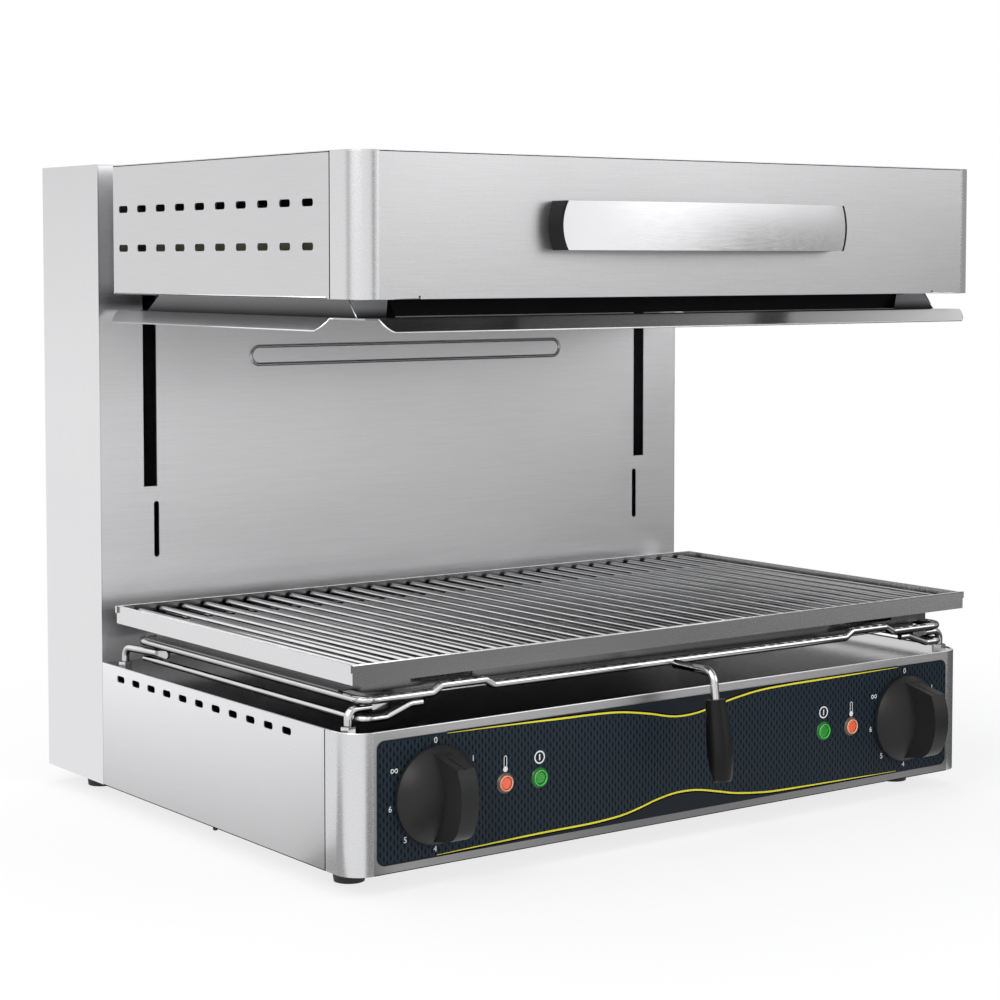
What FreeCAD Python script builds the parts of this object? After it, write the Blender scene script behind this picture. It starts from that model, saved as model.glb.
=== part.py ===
import FreeCAD, Part
import math
import os
import Sketcher

V = FreeCAD.Vector

doc = FreeCAD.newDocument("salamander_grill")
sheet = doc.addObject("Spreadsheet::Sheet", "Dims")

# Driving sizes, in millimetres. Depths are counted backwards from the front face of the base,
# heights upwards from the table, widths from the middle plane.
SIZES = [
    ("body_width", 600.0, "outside width of base, head and column"),
    ("depth_to_centre", 210.3, "base front face to the middle of the whole footprint"),
    ("foot_height", 14.5, "rubber foot, table to floor pan"),
    ("foot_radius", 13.0, "rubber foot at the top"),
    ("foot_base_radius", 11.0, "rubber foot on the table"),
    ("foot_inset_x", 30.0, "foot centre in from the side"),
    ("foot_front", 49.0, "front foot centre behind the front face"),
    ("foot_rear_inset", 36.2, "rear foot centre in from the back"),
    ("base_height", 98.7, "floor pan underside to the top of the base panels"),
    ("base_depth", 364.6, "base front face to the face of the column"),
    ("column_depth", 98.6, "depth of the column"),
    ("column_height", 508.8, "top of the column above the table"),
    ("sheet_gauge", 1.2, "stainless sheet thickness"),
    ("deck_drop", 0.6, "deck plate below the panel edges"),
    ("seam", 0.3, "dark joint line between two panels"),
    ("post_radius", 19.0, "outer radius of the rounded front corners"),
    ("post_flat", 13.8, "flat strip of a corner post on the side"),
    ("floor_lip", 12.0, "turned-up edge of the floor pan"),
    ("base_vent_count", 11, "ventilation slots in each base side"),
    ("base_vent_last_gap", 31.8, "rear slot centre in the base side to the column"),
    ("base_vent_length", 12.1, "slot length in the base side"),
    ("base_vent_height", 5.2, "slot height in the base side"),
    ("base_vent_first", 82.8, "front slot centre behind the front face"),
    ("base_vent_drop", 9.5, "slot centre below the base panel top"),
    ("vent_corner", 2.1, "corner radius of the slots"),
    ("overlay_margin", 2.3, "overlay in from the end of the control panel"),
    ("overlay_height", 86.5, "control overlay height"),
    ("overlay_rise", 6.0, "control overlay above the panel's lower edge"),
    ("overlay_gauge", 0.8, "control overlay thickness"),
    ("overlay_corner", 6.0, "control overlay corner radius"),
    ("control_height", 64.3, "knob and lamp centres above the table"),
    ("knob_inset", 69.3, "knob centre in from the side"),
    ("knob_radius", 34.5, "knob skirt radius"),
    ("knob_rim", 3.0, "straight rim of the knob skirt"),
    ("knob_dome", 22.0, "height of the knob's dome above the overlay"),
    ("knob_end_reach", 36.0, "grip bar in front of the overlay, at its upper end"),
    ("knob_bar_width", 14.8, "grip bar thickness"),
    ("knob_bar_half", 24.0, "half length of the grip bar's front edge"),
    ("knob_bar_foot", 31.5, "half length of the grip bar at the skirt"),
    ("knob_bar_bow", 49.0, "radius of the grip bar's front"),
    ("knob_bar_round", 17.0, "radius of the grip bar's lower corner"),
    ("knob_bar_taper", 3.5, "narrowing of the grip bar towards its lower corner"),
    ("knob_line_width", 1.0, "engraved line on the grip bar"),
    ("knob_line_depth", 0.7, "depth of the engraved line"),
    ("knob_gap", 0.6, "gap between knob and overlay"),
    ("shaft_radius", 3.0, "regulator shaft radius"),
    ("shaft_clearance", 0.05, "running clearance round a shaft or guide rod"),
    ("hole_play", 0.2, "play of a fixed round piece in its hole"),
    ("tight_play", 0.03, "play of a pressed or screwed round piece in its hole"),
    ("sleeve_wall", 1.0, "wall of the lamp sleeve"),
    ("shaft_socket", 14.0, "depth of shaft inside the knob"),
    ("bush_radius", 4.5, "threaded neck of the regulator"),
    ("regulator_width", 34.0, "regulator case width and height"),
    ("regulator_depth", 30.0, "regulator case depth"),
    ("lamp_setback", 59.9, "orange lamp centre inwards from the knob"),
    ("lamp_pitch", 30.4, "green lamp centre inwards from the orange lamp"),
    ("bezel_radius", 7.5, "lamp bezel radius"),
    ("bezel_height", 1.2, "lamp bezel in front of the overlay"),
    ("lens_radius", 5.0, "lamp lens radius"),
    ("lens_reach", 1.7, "lamp lens in front of the overlay"),
    ("lamp_depth", 24.0, "lamp body behind the overlay"),
    ("slot_inset", 44.6, "lift slot and guide rod in from the side"),
    ("slot_width", 12.0, "lift slot width"),
    ("head_travel", 160.0, "travel of the head"),
    ("slot_play", 0.6, "lift slot below the arm, head lowered"),
    ("slot_top_drop", 22.8, "upper end of the lift slots below the column top"),
    ("key_slot_inset", 49.8, "short round-ended slot in from the side"),
    ("key_slot_width", 4.7, "short slot width"),
    ("key_slot_bottom", 194.0, "short slot lower end"),
    ("key_slot_top", 239.3, "short slot upper end"),
    ("splash_tuck", 12.0, "splash plate edge tucked down behind the deck"),
    ("bead_half_length", 162.2, "half length of the pressed bead"),
    ("bead_drop", 162.6, "pressed bead lower edge below the column top"),
    ("bead_height", 16.9, "pressed bead height"),
    ("bead_depth", 0.6, "pressed bead depth"),
    ("bead_line", 2.4, "width of the pressed groove"),
    ("head_height", 100.0, "height of the heating head"),
    ("head_drop", 1.9, "head top below the top of the column, raised"),
    ("head_overhang", 8.9, "head front in front of the base front"),
    ("head_gap", 26.7, "head rear face to the column face"),
    ("head_vent_count", 10, "slots in one row of a head side"),
    ("head_vent_last_gap", 16.65, "rear slot centre in the head side to the head rear"),
    ("head_vent_length", 14.3, "slot length in the head side"),
    ("head_vent_height", 5.4, "slot height in the head side"),
    ("head_vent_first", 51.7, "front slot centre behind the base front face"),
    ("head_vent_low", 35.6, "lower row above the head's underside"),
    ("head_vent_rows", 30.0, "distance between the two rows"),
    ("notch_inset", 32.0, "small notch in from the end of the front panel"),
    ("skirt_inset", 19.0, "hood skirt in from the side"),
    ("skirt_drop", 12.9, "hood skirt height under the head"),
    ("skirt_top_front", 30.0, "hood front wall at the top, behind the base front"),
    ("skirt_front_flare", 10.0, "forward lean of the hood's front wall"),
    ("strip_fold", 8.0, "fold along the top of the hood's black front strip"),
    ("skirt_rear_inset", 39.3, "hood rear wall at the top, in from the head rear"),
    ("skirt_rear_flare", 20.3, "backward lean of the hood's rear wall"),
    ("flange_reach", 7.5, "flat rim beyond the skirt, at the sides"),
    ("flange_front", 9.0, "flat rim in front of the base front"),
    ("flange_rear_gap", 10.6, "flat rim rear edge to the column"),
    ("lip_out", 8.5, "sloped lip, outwards"),
    ("lip_down", 8.5, "sloped lip, downwards"),
    ("lip_relief", 7.0, "lip end taper and corner cut of the flat rim"),
    ("lip_side_start", 42.0, "front end of the side lips behind the base front"),
    ("handle_half_length", 139.5, "head handle from the middle"),
    ("handle_height", 34.6, "head handle height"),
    ("handle_centre", 50.6, "head handle centre above the head's underside"),
    ("handle_end_reach", 14.0, "handle face in front of the head, at its ends"),
    ("handle_bow", 13.0, "extra reach of the handle in the middle"),
    ("handle_gauge", 2.0, "handle strip thickness"),
    ("handle_end_bulge", 4.7, "arc of the handle ends"),
    ("cap_thickness", 9.0, "black end cap thickness"),
    ("cap_lip", 2.4, "width of the end cap that shows in front, beside the strip"),
    ("reflector_gauge", 0.8, "reflector sheet thickness"),
    ("reflector_rise", 22.0, "reflector roof above the head's underside"),
    ("blanket_thickness", 30.0, "insulating blanket thickness"),
    ("element_radius", 4.0, "heating element tube radius"),
    ("holder_grip", 4.0, "element held in its ceramic holder"),
    ("holder_half_width", 9.0, "half width of the ceramic holder"),
    ("holder_half_height", 7.0, "half height of the ceramic holder"),
    ("element_height", 2.0, "element axis above the head's underside"),
    ("element_pitch", 36.0, "spacing of element legs"),
    ("element_inner", 20.0, "element end from the middle"),
    ("element_inset", 19.0, "element end inside the skirt"),
    ("element_front_gap", 26.0, "first element leg behind the hood front wall"),
    ("rod_radius", 6.0, "guide rod radius"),
    ("rod_setback", 45.4, "guide rod centre behind the splash plate face"),
    ("rod_below_slot", 61.4, "guide rod lower end below the lift slot"),
    ("rod_top_drop", 5.8, "guide rod upper end below the column top"),
    ("bracket_height", 14.0, "rod bracket height"),
    ("bracket_half_width", 14.0, "rod bracket half width"),
    ("bracket_front", 16.0, "rod bracket in front of the rod centre"),
    ("carriage_width", 36.0, "carriage block width"),
    ("carriage_depth", 36.0, "carriage block depth"),
    ("carriage_height", 66.0, "carriage block height"),
    ("carriage_rise", 5.1, "carriage underside above the head underside"),
    ("arm_gauge", 6.0, "lift arm thickness"),
    ("arm_foot_width", 44.0, "lift arm foot on the head's rear panel"),
    ("buffer_radius", 11.0, "rubber stop ring radius"),
    ("spring_radius", 10.0, "lift spring mean radius"),
    ("spring_wire", 1.25, "lift spring wire radius"),
    ("spring_turns", 10, "lift spring turns"),
    ("stud_inset", 9.5, "rack stud in from the side"),
    ("stud_front", 18.0, "front rack stud behind the front face"),
    ("stud_rear_gap", 21.6, "rear rack stud to the column"),
    ("stud_radius", 3.0, "rack stud rod radius"),
    ("stud_rise", 14.8, "stud arm axis above the deck"),
    ("stud_bend", 6.5, "stud bend radius"),
    ("stud_arm_front", 30.0, "reach of the front stud's arm"),
    ("stud_arm_rear", 54.0, "reach of the rear stud's arm"),
    ("tip_length", 12.0, "flattened tip length"),
    ("tip_height", 6.0, "flattened tip height"),
    ("tip_gauge", 2.6, "flattened tip thickness"),
    ("nut_flats", 10.0, "stud nut across flats"),
    ("nut_height", 3.6, "stud nut height"),
    ("loop_inset", 16.0, "side rail of the rack in from the side"),
    ("loop_front", 9.5, "front wire of the rack behind the front face"),
    ("loop_rear_gap", 31.6, "rear wire of the rack to the column"),
    ("loop_radius", 3.0, "rack wire radius"),
    ("loop_bend", 11.0, "corner radius of the rack"),
    ("loop_rise", 21.1, "rack wire axis above the deck"),
    ("jog_inset", 57.5, "outer foot of the raised step inside the rack's side rail"),
    ("jog_length", 53.0, "length of the raised step at its foot"),
    ("jog_run", 7.5, "slope of the raised step"),
    ("jog_rise", 4.4, "height of the raised step"),
    ("rail_radius", 2.5, "lower rail wire radius"),
    ("rail_rise", 8.4, "lower rail axis above the deck"),
    ("rail_rear_gap", 11.0, "rear end of the lower rail before the rear wire"),
    ("rail_bend", 8.0, "corner radius of the lower rail"),
    ("rail_ramp_start", 19.0, "foot of the lower rail's ramp inside the side rail"),
    ("rail_ramp_end", 39.0, "head of the lower rail's ramp inside the side rail"),
    ("rail_end", 48.5, "inner end of the lower rail inside the side rail"),
    ("pull_offset", 7.0, "pull handle to the left of the middle"),
    ("pull_radius", 3.25, "pull rod radius"),
    ("pull_reach", 36.0, "bend of the pull rod in front of the base"),
    ("pull_bend", 9.0, "pull rod bend radius"),
    ("pull_drop", 20.5, "pull rod bend to the grip's top"),
    ("pull_lean", 8.0, "outward lean of the grip, degrees"),
    ("grip_length", 60.0, "grip length"),
    ("grip_top_radius", 7.5, "grip radius at the top"),
    ("grip_belly_radius", 9.65, "grip radius at the belly"),
    ("grip_end_radius", 6.7, "grip radius at the lower end"),
    ("grip_bore_depth", 30.0, "depth of rod in the grip"),
    ("tray_side_gap", 7.0, "drip tray wall inside the rack's side rail"),
    ("tray_front", 20.6, "drip tray front wall behind the base front"),
    ("tray_rear_gap", 17.0, "drip tray rear wall before the rear wire"),
    ("tray_gauge", 1.0, "drip tray sheet thickness"),
    ("tray_step", 7.0, "inward step of the drip tray's pan"),
    ("tray_pan_depth", 6.1, "depth of the tray's pan under the step"),
    ("tray_wing", 11.0, "side wing that rests on the rack"),
    ("tray_rim_height", 10.6, "height of the tray's rim above the wings"),
    ("tray_notch_outer", 40.0, "outer end of the rim notch inside the tray wall"),
    ("tray_notch_inner", 93.0, "inner end of the rim notch inside the tray wall"),
    ("tray_notch_depth", 7.5, "depth of the notch in the front rim"),
    ("rest_gap", 0.4, "play where a loose piece rests on round wire"),
    ("grid_inset", 1.4, "grid frame in from the side"),
    ("grid_front", 0.4, "grid frame in front of the base front"),
    ("grid_rear_gap", 23.3, "grid frame rear edge to the column"),
    ("grid_gauge", 2.5, "grid frame bar thickness"),
    ("grid_height", 13.6, "grid frame bar height"),
    ("grid_tab_height", 5.2, "height of the tabs at the frame corners"),
    ("grid_tab_reach", 1.3, "reach of the tabs at the frame corners"),
    ("bar_radius", 2.7, "grid bar radius"),
    ("bar_rear_gap", 3.5, "rear ends of the grid bars to the frame"),
    ("bar_end_gap", 14.7, "outer grid bar to the inside of the frame"),
    ("bar_count", 29, "grid bars"),
    ("bar_drop", 2.4, "bar tops below the frame's upper edge"),
    ("cross_radius", 2.6, "cross wire radius"),
    ("cross_inner", 24.0, "middle pair of cross wires from the grid's centre"),
    ("cross_mid", 97.0, "next cross wires from the grid's centre"),
    ("cross_outer", 131.0, "outer cross wires from the grid's centre"),
    ("gland_radius", 9.0, "cable gland radius"),
    ("gland_step", 2.0, "gland thread smaller than its collar, on radius"),
    ("gland_bore", 5.0, "cable gland bore radius"),
    ("gland_reach", 12.0, "cable gland behind the back panel"),
    ("gland_offset", 200.0, "cable gland from the middle"),
    ("gland_height", 60.0, "cable gland above the table"),
    ("terminal_width", 46.0, "terminal block width"),
    ("screw_radius", 3.6, "panel screw head radius"),
    ("screw_head", 1.8, "panel screw head height"),
    ("wall_hole_radius", 4.0, "wall fixing hole radius"),
    ("wall_hole_spacing", 400.0, "wall fixing holes, side to side"),
    ("wall_hole_drop", 38.8, "wall fixing holes below the column top"),
]


class Size:
    """A number that also remembers how it is reckoned from the sheet."""

    def __init__(self, value, text):
        self.value = float(value)
        self.text = text

    def __add__(self, other):
        other = size(other)
        return Size(self.value + other.value, "(%s + %s)" % (self.text, other.text))

    def __sub__(self, other):
        other = size(other)
        return Size(self.value - other.value, "(%s - %s)" % (self.text, other.text))

    def __mul__(self, other):
        other = size(other)
        return Size(self.value * other.value, "(%s * %s)" % (self.text, other.text))

    def __truediv__(self, other):
        other = size(other)
        return Size(self.value / other.value, "(%s / %s)" % (self.text, other.text))

    def __neg__(self):
        return Size(-self.value, "(0 - %s)" % self.text)

    __radd__ = __add__
    __rmul__ = __mul__

    def __rsub__(self, other):
        return size(other) - self

    def __float__(self):
        return self.value


def size(value):
    if isinstance(value, Size):
        return value
    return Size(value, "%.6g" % value)


for row, (alias, value, note) in enumerate(SIZES, start=1):
    sheet.set("A%d" % row, alias)
    sheet.set("B%d" % row, "%g" % value)
    sheet.set("C%d" % row, note)
    sheet.setAlias("B%d" % row, alias)
doc.recompute()


class Sheet:
    """Each alias of the sheet as a Size."""


D = Sheet()
for alias, value, note in SIZES:
    setattr(D, alias, Size(value, "Dims." + alias))


def bind(item, prop, value):
    value = size(value)
    if "Dims." in value.text:
        item.setExpression(prop, value.text)
    elif not prop.startswith(("Constraints", ".")):
        setattr(item, prop, value.value)
    else:
        item.setExpression(prop, value.text)


nodes = []
counter = [0]


def fresh(kind, hint):
    counter[0] += 1
    return doc.addObject(kind, "%s_%d" % (hint, counter[0]))


def node(item, label):
    item.Label = label
    nodes.append(item)
    return item


def place(item, x, y, z, rotation=None):
    """Seat an item; depths become distances from the middle of the footprint."""
    y = size(y) - D.depth_to_centre
    turn = rotation or FreeCAD.Rotation()
    item.Placement = FreeCAD.Placement(V(float(size(x)), float(y), float(size(z))), turn)
    bind(item, ".Placement.Base.x", x)
    bind(item, ".Placement.Base.y", y)
    bind(item, ".Placement.Base.z", z)


def box(x0, x1, y0, y1, z0, z1, hint="box"):
    item = fresh("Part::Box", hint)
    bind(item, "Length", size(x1) - x0)
    bind(item, "Width", size(y1) - y0)
    bind(item, "Height", size(z1) - z0)
    place(item, x0, y0, z0)
    return item


TURNS = {
    "z": FreeCAD.Rotation(),
    "x": FreeCAD.Rotation(V(0, 1, 0), 90),
    "y": FreeCAD.Rotation(V(1, 0, 0), -90),
    "-y": FreeCAD.Rotation(V(1, 0, 0), 90),
}


def cylinder(x, y, z, radius, length, axis="z", hint="cylinder"):
    item = fresh("Part::Cylinder", hint)
    bind(item, "Radius", radius)
    bind(item, "Height", length)
    place(item, x, y, z, TURNS[axis])
    return item


def cone(x, y, z, radius_low, radius_high, length, axis="z", hint="cone"):
    item = fresh("Part::Cone", hint)
    bind(item, "Radius1", radius_low)
    bind(item, "Radius2", radius_high)
    bind(item, "Height", length)
    place(item, x, y, z, TURNS[axis])
    return item


def fuse(items, hint="fuse"):
    item = fresh("Part::MultiFuse", hint)
    item.Shapes = items
    return item


def cut(base, tools, hint="cut"):
    if len(tools) > 1:
        tool = fuse(tools)
    else:
        tool = tools[0]
    item = fresh("Part::Cut", hint)
    item.Base = base
    item.Tool = tool
    return item


def plane_of(body, role):
    for feature in body.Origin.OriginFeatures:
        if feature.Role == role:
            return feature
    raise RuntimeError("no plane " + role)


def new_body(label, depth=0.0):
    """A body whose own zero lies on the base's front face, or further back by depth."""
    body = fresh("PartDesign::Body", "body")
    body.Placement = FreeCAD.Placement(V(0, float(depth - D.depth_to_centre), 0), FreeCAD.Rotation())
    bind(body, ".Placement.Base.y", size(depth) - D.depth_to_centre)
    return node(body, label)


def new_sketch(body, role, offset=0.0):
    counter[0] += 1
    sketch = body.newObject("Sketcher::SketchObject", "sketch_%d" % counter[0])
    sketch.AttachmentSupport = [(plane_of(body, role), "")]
    sketch.MapMode = "FlatFace"
    offset = size(offset)
    sketch.AttachmentOffset = FreeCAD.Placement(V(0, 0, offset.value), FreeCAD.Rotation())
    if "Dims." in offset.text:
        sketch.setExpression(".AttachmentOffset.Base.z", offset.text)
    return sketch


def rule(sketch, constraint, value):
    index = sketch.addConstraint(constraint)
    name = "rule%d" % index
    sketch.renameConstraint(index, name)
    bind(sketch, "Constraints." + name, value)


def corner_rules(sketch, line, point, x, y):
    x = size(x)
    y = size(y)
    if abs(x.value) < 1e-9 and "Dims." not in x.text:
        sketch.addConstraint(Sketcher.Constraint("PointOnObject", line, point, -2))
    else:
        rule(sketch, Sketcher.Constraint("DistanceX", -1, 1, line, point, x.value), x)
    if abs(y.value) < 1e-9 and "Dims." not in y.text:
        sketch.addConstraint(Sketcher.Constraint("PointOnObject", line, point, -1))
    else:
        rule(sketch, Sketcher.Constraint("DistanceY", -1, 1, line, point, y.value), y)


def polygon(sketch, points):
    """A closed outline; every corner is held by its two coordinates."""
    count = len(points)
    first = sketch.GeometryCount
    flat = [V(float(size(x)), float(size(y)), 0) for x, y in points]
    for index in range(count):
        sketch.addGeometry(Part.LineSegment(flat[index], flat[(index + 1) % count]))
    for index in range(count):
        after = first + (index + 1) % count
        sketch.addConstraint(Sketcher.Constraint("Coincident", first + index, 2, after, 1))
    for index, (x, y) in enumerate(points):
        corner_rules(sketch, first + index, 1, x, y)


def rounded_outline(sketch, corners, arcs):
    """A closed outline with some sides bent outwards.

    arcs gives, for the side that starts at a corner, its radius and the way it turns:
    1 with the clock's reverse, -1 with the clock. A radius of None puts its centre on the
    horizontal axis."""
    count = len(corners)
    flat = [V(float(size(x)), float(size(y)), 0) for x, y in corners]
    ids, starts, ends = [], [], []
    for index in range(count):
        a, b = flat[index], flat[(index + 1) % count]
        if index not in arcs:
            ids.append(sketch.addGeometry(Part.LineSegment(a, b)))
            starts.append(1)
            ends.append(2)
            continue
        radius, turn = arcs[index]
        middle = (a + b) * 0.5
        half = (b - a).Length / 2
        if radius is None:
            centre_x = (b.x ** 2 + b.y ** 2 - a.x ** 2 - a.y ** 2) / (2 * (b.x - a.x))
            centre = V(centre_x, 0, 0)
        else:
            along = (b - a).normalize()
            away = V(-along.y, along.x, 0) * turn
            centre = middle + away * math.sqrt(float(radius) ** 2 - half ** 2)
        first, last = (a, b) if turn > 0 else (b, a)
        angle_first = math.atan2(first.y - centre.y, first.x - centre.x)
        angle_last = math.atan2(last.y - centre.y, last.x - centre.x)
        if angle_last < angle_first:
            angle_last += 2 * math.pi
        ring = Part.Circle(centre, V(0, 0, 1), (a - centre).Length)
        ids.append(sketch.addGeometry(Part.ArcOfCircle(ring, angle_first, angle_last)))
        starts.append(1 if turn > 0 else 2)
        ends.append(2 if turn > 0 else 1)
    for index in range(count):
        after = (index + 1) % count
        sketch.addConstraint(Sketcher.Constraint("Coincident", ids[index], ends[index], ids[after], starts[after]))
    for index, (x, y) in enumerate(corners):
        if index in arcs and (index - 1) % count not in arcs:
            corner_rules(sketch, ids[(index - 1) % count], ends[(index - 1) % count], x, y)
        else:
            corner_rules(sketch, ids[index], starts[index], x, y)
    for index, (radius, turn) in arcs.items():
        if radius is None:
            sketch.addConstraint(Sketcher.Constraint("PointOnObject", ids[index], 3, -1))
        else:
            rule(sketch, Sketcher.Constraint("Radius", ids[index], float(radius)), radius)


def rectangle(sketch, x0, x1, y0, y1):
    polygon(sketch, [(x0, y0), (x1, y0), (x1, y1), (x0, y1)])


def circle(sketch, x, y, radius):
    index = sketch.addGeometry(Part.Circle(V(float(size(x)), float(size(y)), 0), V(0, 0, 1), float(radius)))
    corner_rules(sketch, index, 3, x, y)
    rule(sketch, Sketcher.Constraint("Radius", index, float(radius)), radius)


def slot(sketch, x, y0, y1, radius):
    """An upright slot with round ends, y0 and y1 being its extreme heights."""
    x, y0, y1, radius = size(x), size(y0), size(y1), size(radius)
    low = y0 + radius
    high = y1 - radius
    cx, r = x.value, radius.value
    right = sketch.addGeometry(Part.LineSegment(V(cx + r, low.value, 0), V(cx + r, high.value, 0)))
    top = sketch.addGeometry(Part.ArcOfCircle(Part.Circle(V(cx, high.value, 0), V(0, 0, 1), r), 0, math.pi))
    left = sketch.addGeometry(Part.LineSegment(V(cx - r, high.value, 0), V(cx - r, low.value, 0)))
    bottom = sketch.addGeometry(
        Part.ArcOfCircle(Part.Circle(V(cx, low.value, 0), V(0, 0, 1), r), math.pi, 2 * math.pi))
    sketch.addConstraint(Sketcher.Constraint("Tangent", right, 2, top, 1))
    sketch.addConstraint(Sketcher.Constraint("Tangent", top, 2, left, 1))
    sketch.addConstraint(Sketcher.Constraint("Tangent", left, 2, bottom, 1))
    sketch.addConstraint(Sketcher.Constraint("Tangent", bottom, 2, right, 1))
    corner_rules(sketch, top, 3, x, high)
    corner_rules(sketch, bottom, 3, x, low)
    rule(sketch, Sketcher.Constraint("Radius", top, r), radius)


def rounded_rectangle(sketch, x0, x1, y0, y1, radius):
    x0, x1, y0, y1, radius = size(x0), size(x1), size(y0), size(y1), size(radius)
    r = radius.value
    ax, bx, ay, by = x0.value, x1.value, y0.value, y1.value
    lines = [((ax + r, ay), (bx - r, ay)), ((bx, ay + r), (bx, by - r)),
             ((bx - r, by), (ax + r, by)), ((ax, by - r), (ax, ay + r))]
    arcs = [((bx - r, ay + r), 1.5), ((bx - r, by - r), 0.0), ((ax + r, by - r), 0.5), ((ax + r, ay + r), 1.0)]
    ids = []
    for (start, end), (centre, turn) in zip(lines, arcs):
        ids.append(sketch.addGeometry(Part.LineSegment(V(start[0], start[1], 0), V(end[0], end[1], 0))))
        ring = Part.Circle(V(centre[0], centre[1], 0), V(0, 0, 1), r)
        ids.append(sketch.addGeometry(Part.ArcOfCircle(ring, turn * math.pi, (turn + 0.5) * math.pi)))
    for index in range(8):
        sketch.addConstraint(Sketcher.Constraint("Tangent", ids[index], 2, ids[(index + 1) % 8], 1))
    sketch.addConstraint(Sketcher.Constraint("Horizontal", ids[0]))
    sketch.addConstraint(Sketcher.Constraint("Vertical", ids[2]))
    sketch.addConstraint(Sketcher.Constraint("Horizontal", ids[4]))
    sketch.addConstraint(Sketcher.Constraint("Vertical", ids[6]))
    corner_rules(sketch, ids[7], 3, x0 + radius, y0 + radius)
    corner_rules(sketch, ids[3], 3, x1 - radius, y1 - radius)
    rule(sketch, Sketcher.Constraint("Radius", ids[1], r), radius)


def pad(body, sketch, length, reversed_way=False):
    counter[0] += 1
    item = body.newObject("PartDesign::Pad", "pad_%d" % counter[0])
    item.Profile = sketch
    bind(item, "Length", length)
    item.Reversed = reversed_way
    return item


def pocket(body, sketch, length, reversed_way=False):
    """Cut a sketch out of the body, and make sure that something was cut."""
    doc.recompute()
    before = body.Tip.Shape.Volume
    counter[0] += 1
    item = body.newObject("PartDesign::Pocket", "pocket_%d" % counter[0])
    item.Profile = sketch
    bind(item, "Length", length)
    item.Reversed = reversed_way
    doc.recompute()
    if item.Shape.Volume > before - 1e-6:
        item.Reversed = not reversed_way
        doc.recompute()
    if item.Shape.Volume > before - 1e-6:
        raise RuntimeError("nothing cut in " + body.Label)
    return item


def linear_pattern(body, feature, sketch, axis, length, count):
    item = body.newObject("PartDesign::LinearPattern", feature.Name + "_row")
    item.Originals = [feature]
    item.Direction = (sketch, [axis])
    bind(item, "Length", length)
    bind(item, "Occurrences", count)
    body.Tip = item
    return item


def revolve(body, sketch, axis):
    counter[0] += 1
    item = body.newObject("PartDesign::Revolution", "revolution_%d" % counter[0])
    item.Profile = sketch
    item.ReferenceAxis = (sketch, [axis])
    item.Angle = 360.0
    return item


def shape_node(shape, label, lean=None):
    """A piece worked out in the machine's own depths, then moved to the footprint's middle."""
    item = fresh("Part::Feature", "shape")
    item.Shape = shape
    item.Placement = FreeCAD.Placement(V(0, -float(D.depth_to_centre), 0), FreeCAD.Rotation())
    bind(item, ".Placement.Base.y", -D.depth_to_centre)
    return node(item, label)


def bent_rod(points, bend, radius):
    """Round rod along straight runs joined by tangent arcs."""
    edges = []
    start = points[0]
    for before, corner, after in zip(points, points[1:], points[2:]):
        back = (before - corner).normalize()
        ahead = (after - corner).normalize()
        half = back.getAngle(ahead) / 2
        trim = bend / math.tan(half)
        first = corner + back * trim
        last = corner + ahead * trim
        inward = (back + ahead).normalize()
        middle = corner + inward * (bend / math.sin(half) - bend)
        edges.append(Part.makeLine(start, first))
        edges.append(Part.Arc(first, middle, last).toShape())
        start = last
    edges.append(Part.makeLine(start, points[-1]))
    path = Part.Wire(edges)
    ring = Part.Wire(Part.makeCircle(radius, points[0], points[1] - points[0]))
    return path.makePipeShell([ring], True)


def mirrored(shape):
    return shape.mirror(V(0, 0, 0), V(1, 0, 0))


def solids_of(shapes):
    found = []
    for shape in shapes:
        found.extend(shape.Solids)
    return Part.makeCompound(found)


HALF = D.body_width / 2
GAUGE = D.sheet_gauge
INNER = HALF - GAUGE
FLOOR = D.foot_height
BASE_TOP = D.foot_height + D.base_height
DECK = BASE_TOP - D.deck_drop
COLUMN_FRONT = D.base_depth
COLUMN_BACK = D.base_depth + D.column_depth
HEAD_HIGH = D.column_height - D.head_drop
HEAD_LOW = HEAD_HIGH - D.head_height
HEAD_FRONT = -D.head_overhang
HEAD_BACK = D.base_depth - D.head_gap
POST_DEPTH = D.post_radius + D.post_flat
PANEL_HALF = HALF - D.post_radius
FOOT_REAR = COLUMN_BACK - D.foot_rear_inset
STUD_X = HALF - D.stud_inset
STUD_REAR = COLUMN_FRONT - D.stud_rear_gap
LOOP_X = HALF - D.loop_inset
LOOP_REAR = COLUMN_FRONT - D.loop_rear_gap
SLOT_X = HALF - D.slot_inset
KEY_SLOT_X = HALF - D.key_slot_inset
KNOB_X = HALF - D.knob_inset
LAMP_ORANGE_X = KNOB_X - D.lamp_setback
LAMP_GREEN_X = LAMP_ORANGE_X - D.lamp_pitch
OVERLAY_HALF = PANEL_HALF - D.overlay_margin
SKIRT_HALF = HALF - D.skirt_inset
SKIRT_TOP_REAR = HEAD_BACK - D.skirt_rear_inset
NOTCH_X = PANEL_HALF - D.notch_inset
CARRIAGE_LOW = HEAD_LOW + D.carriage_rise
SLOT_LOW = CARRIAGE_LOW - D.head_travel - D.slot_play
ROD_LOW = SLOT_LOW - D.rod_below_slot
ROD_HIGH = D.column_height - D.rod_top_drop
ROD_DEPTH = COLUMN_FRONT + D.rod_setback
BEAD_LOW = D.column_height - D.bead_drop
ELEMENT_OUTER = SKIRT_HALF - D.element_inset
ELEMENT_FIRST = D.skirt_top_front + D.element_front_gap


def round_fronted(half, y0, y1, z0, z1, radius):
    """Level plate or block whose two front corners are rounded."""
    main = box(-half, half, y0 + radius, y1, z0, z1)
    nose = box(-half + radius, half - radius, y0, y0 + radius, z0, z1)
    rounds = []
    for side in (-1, 1):
        rounds.append(cylinder((half - radius) * side, y0 + radius, z0, radius, size(z1) - z0))
    return fuse([main, nose] + rounds)


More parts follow.
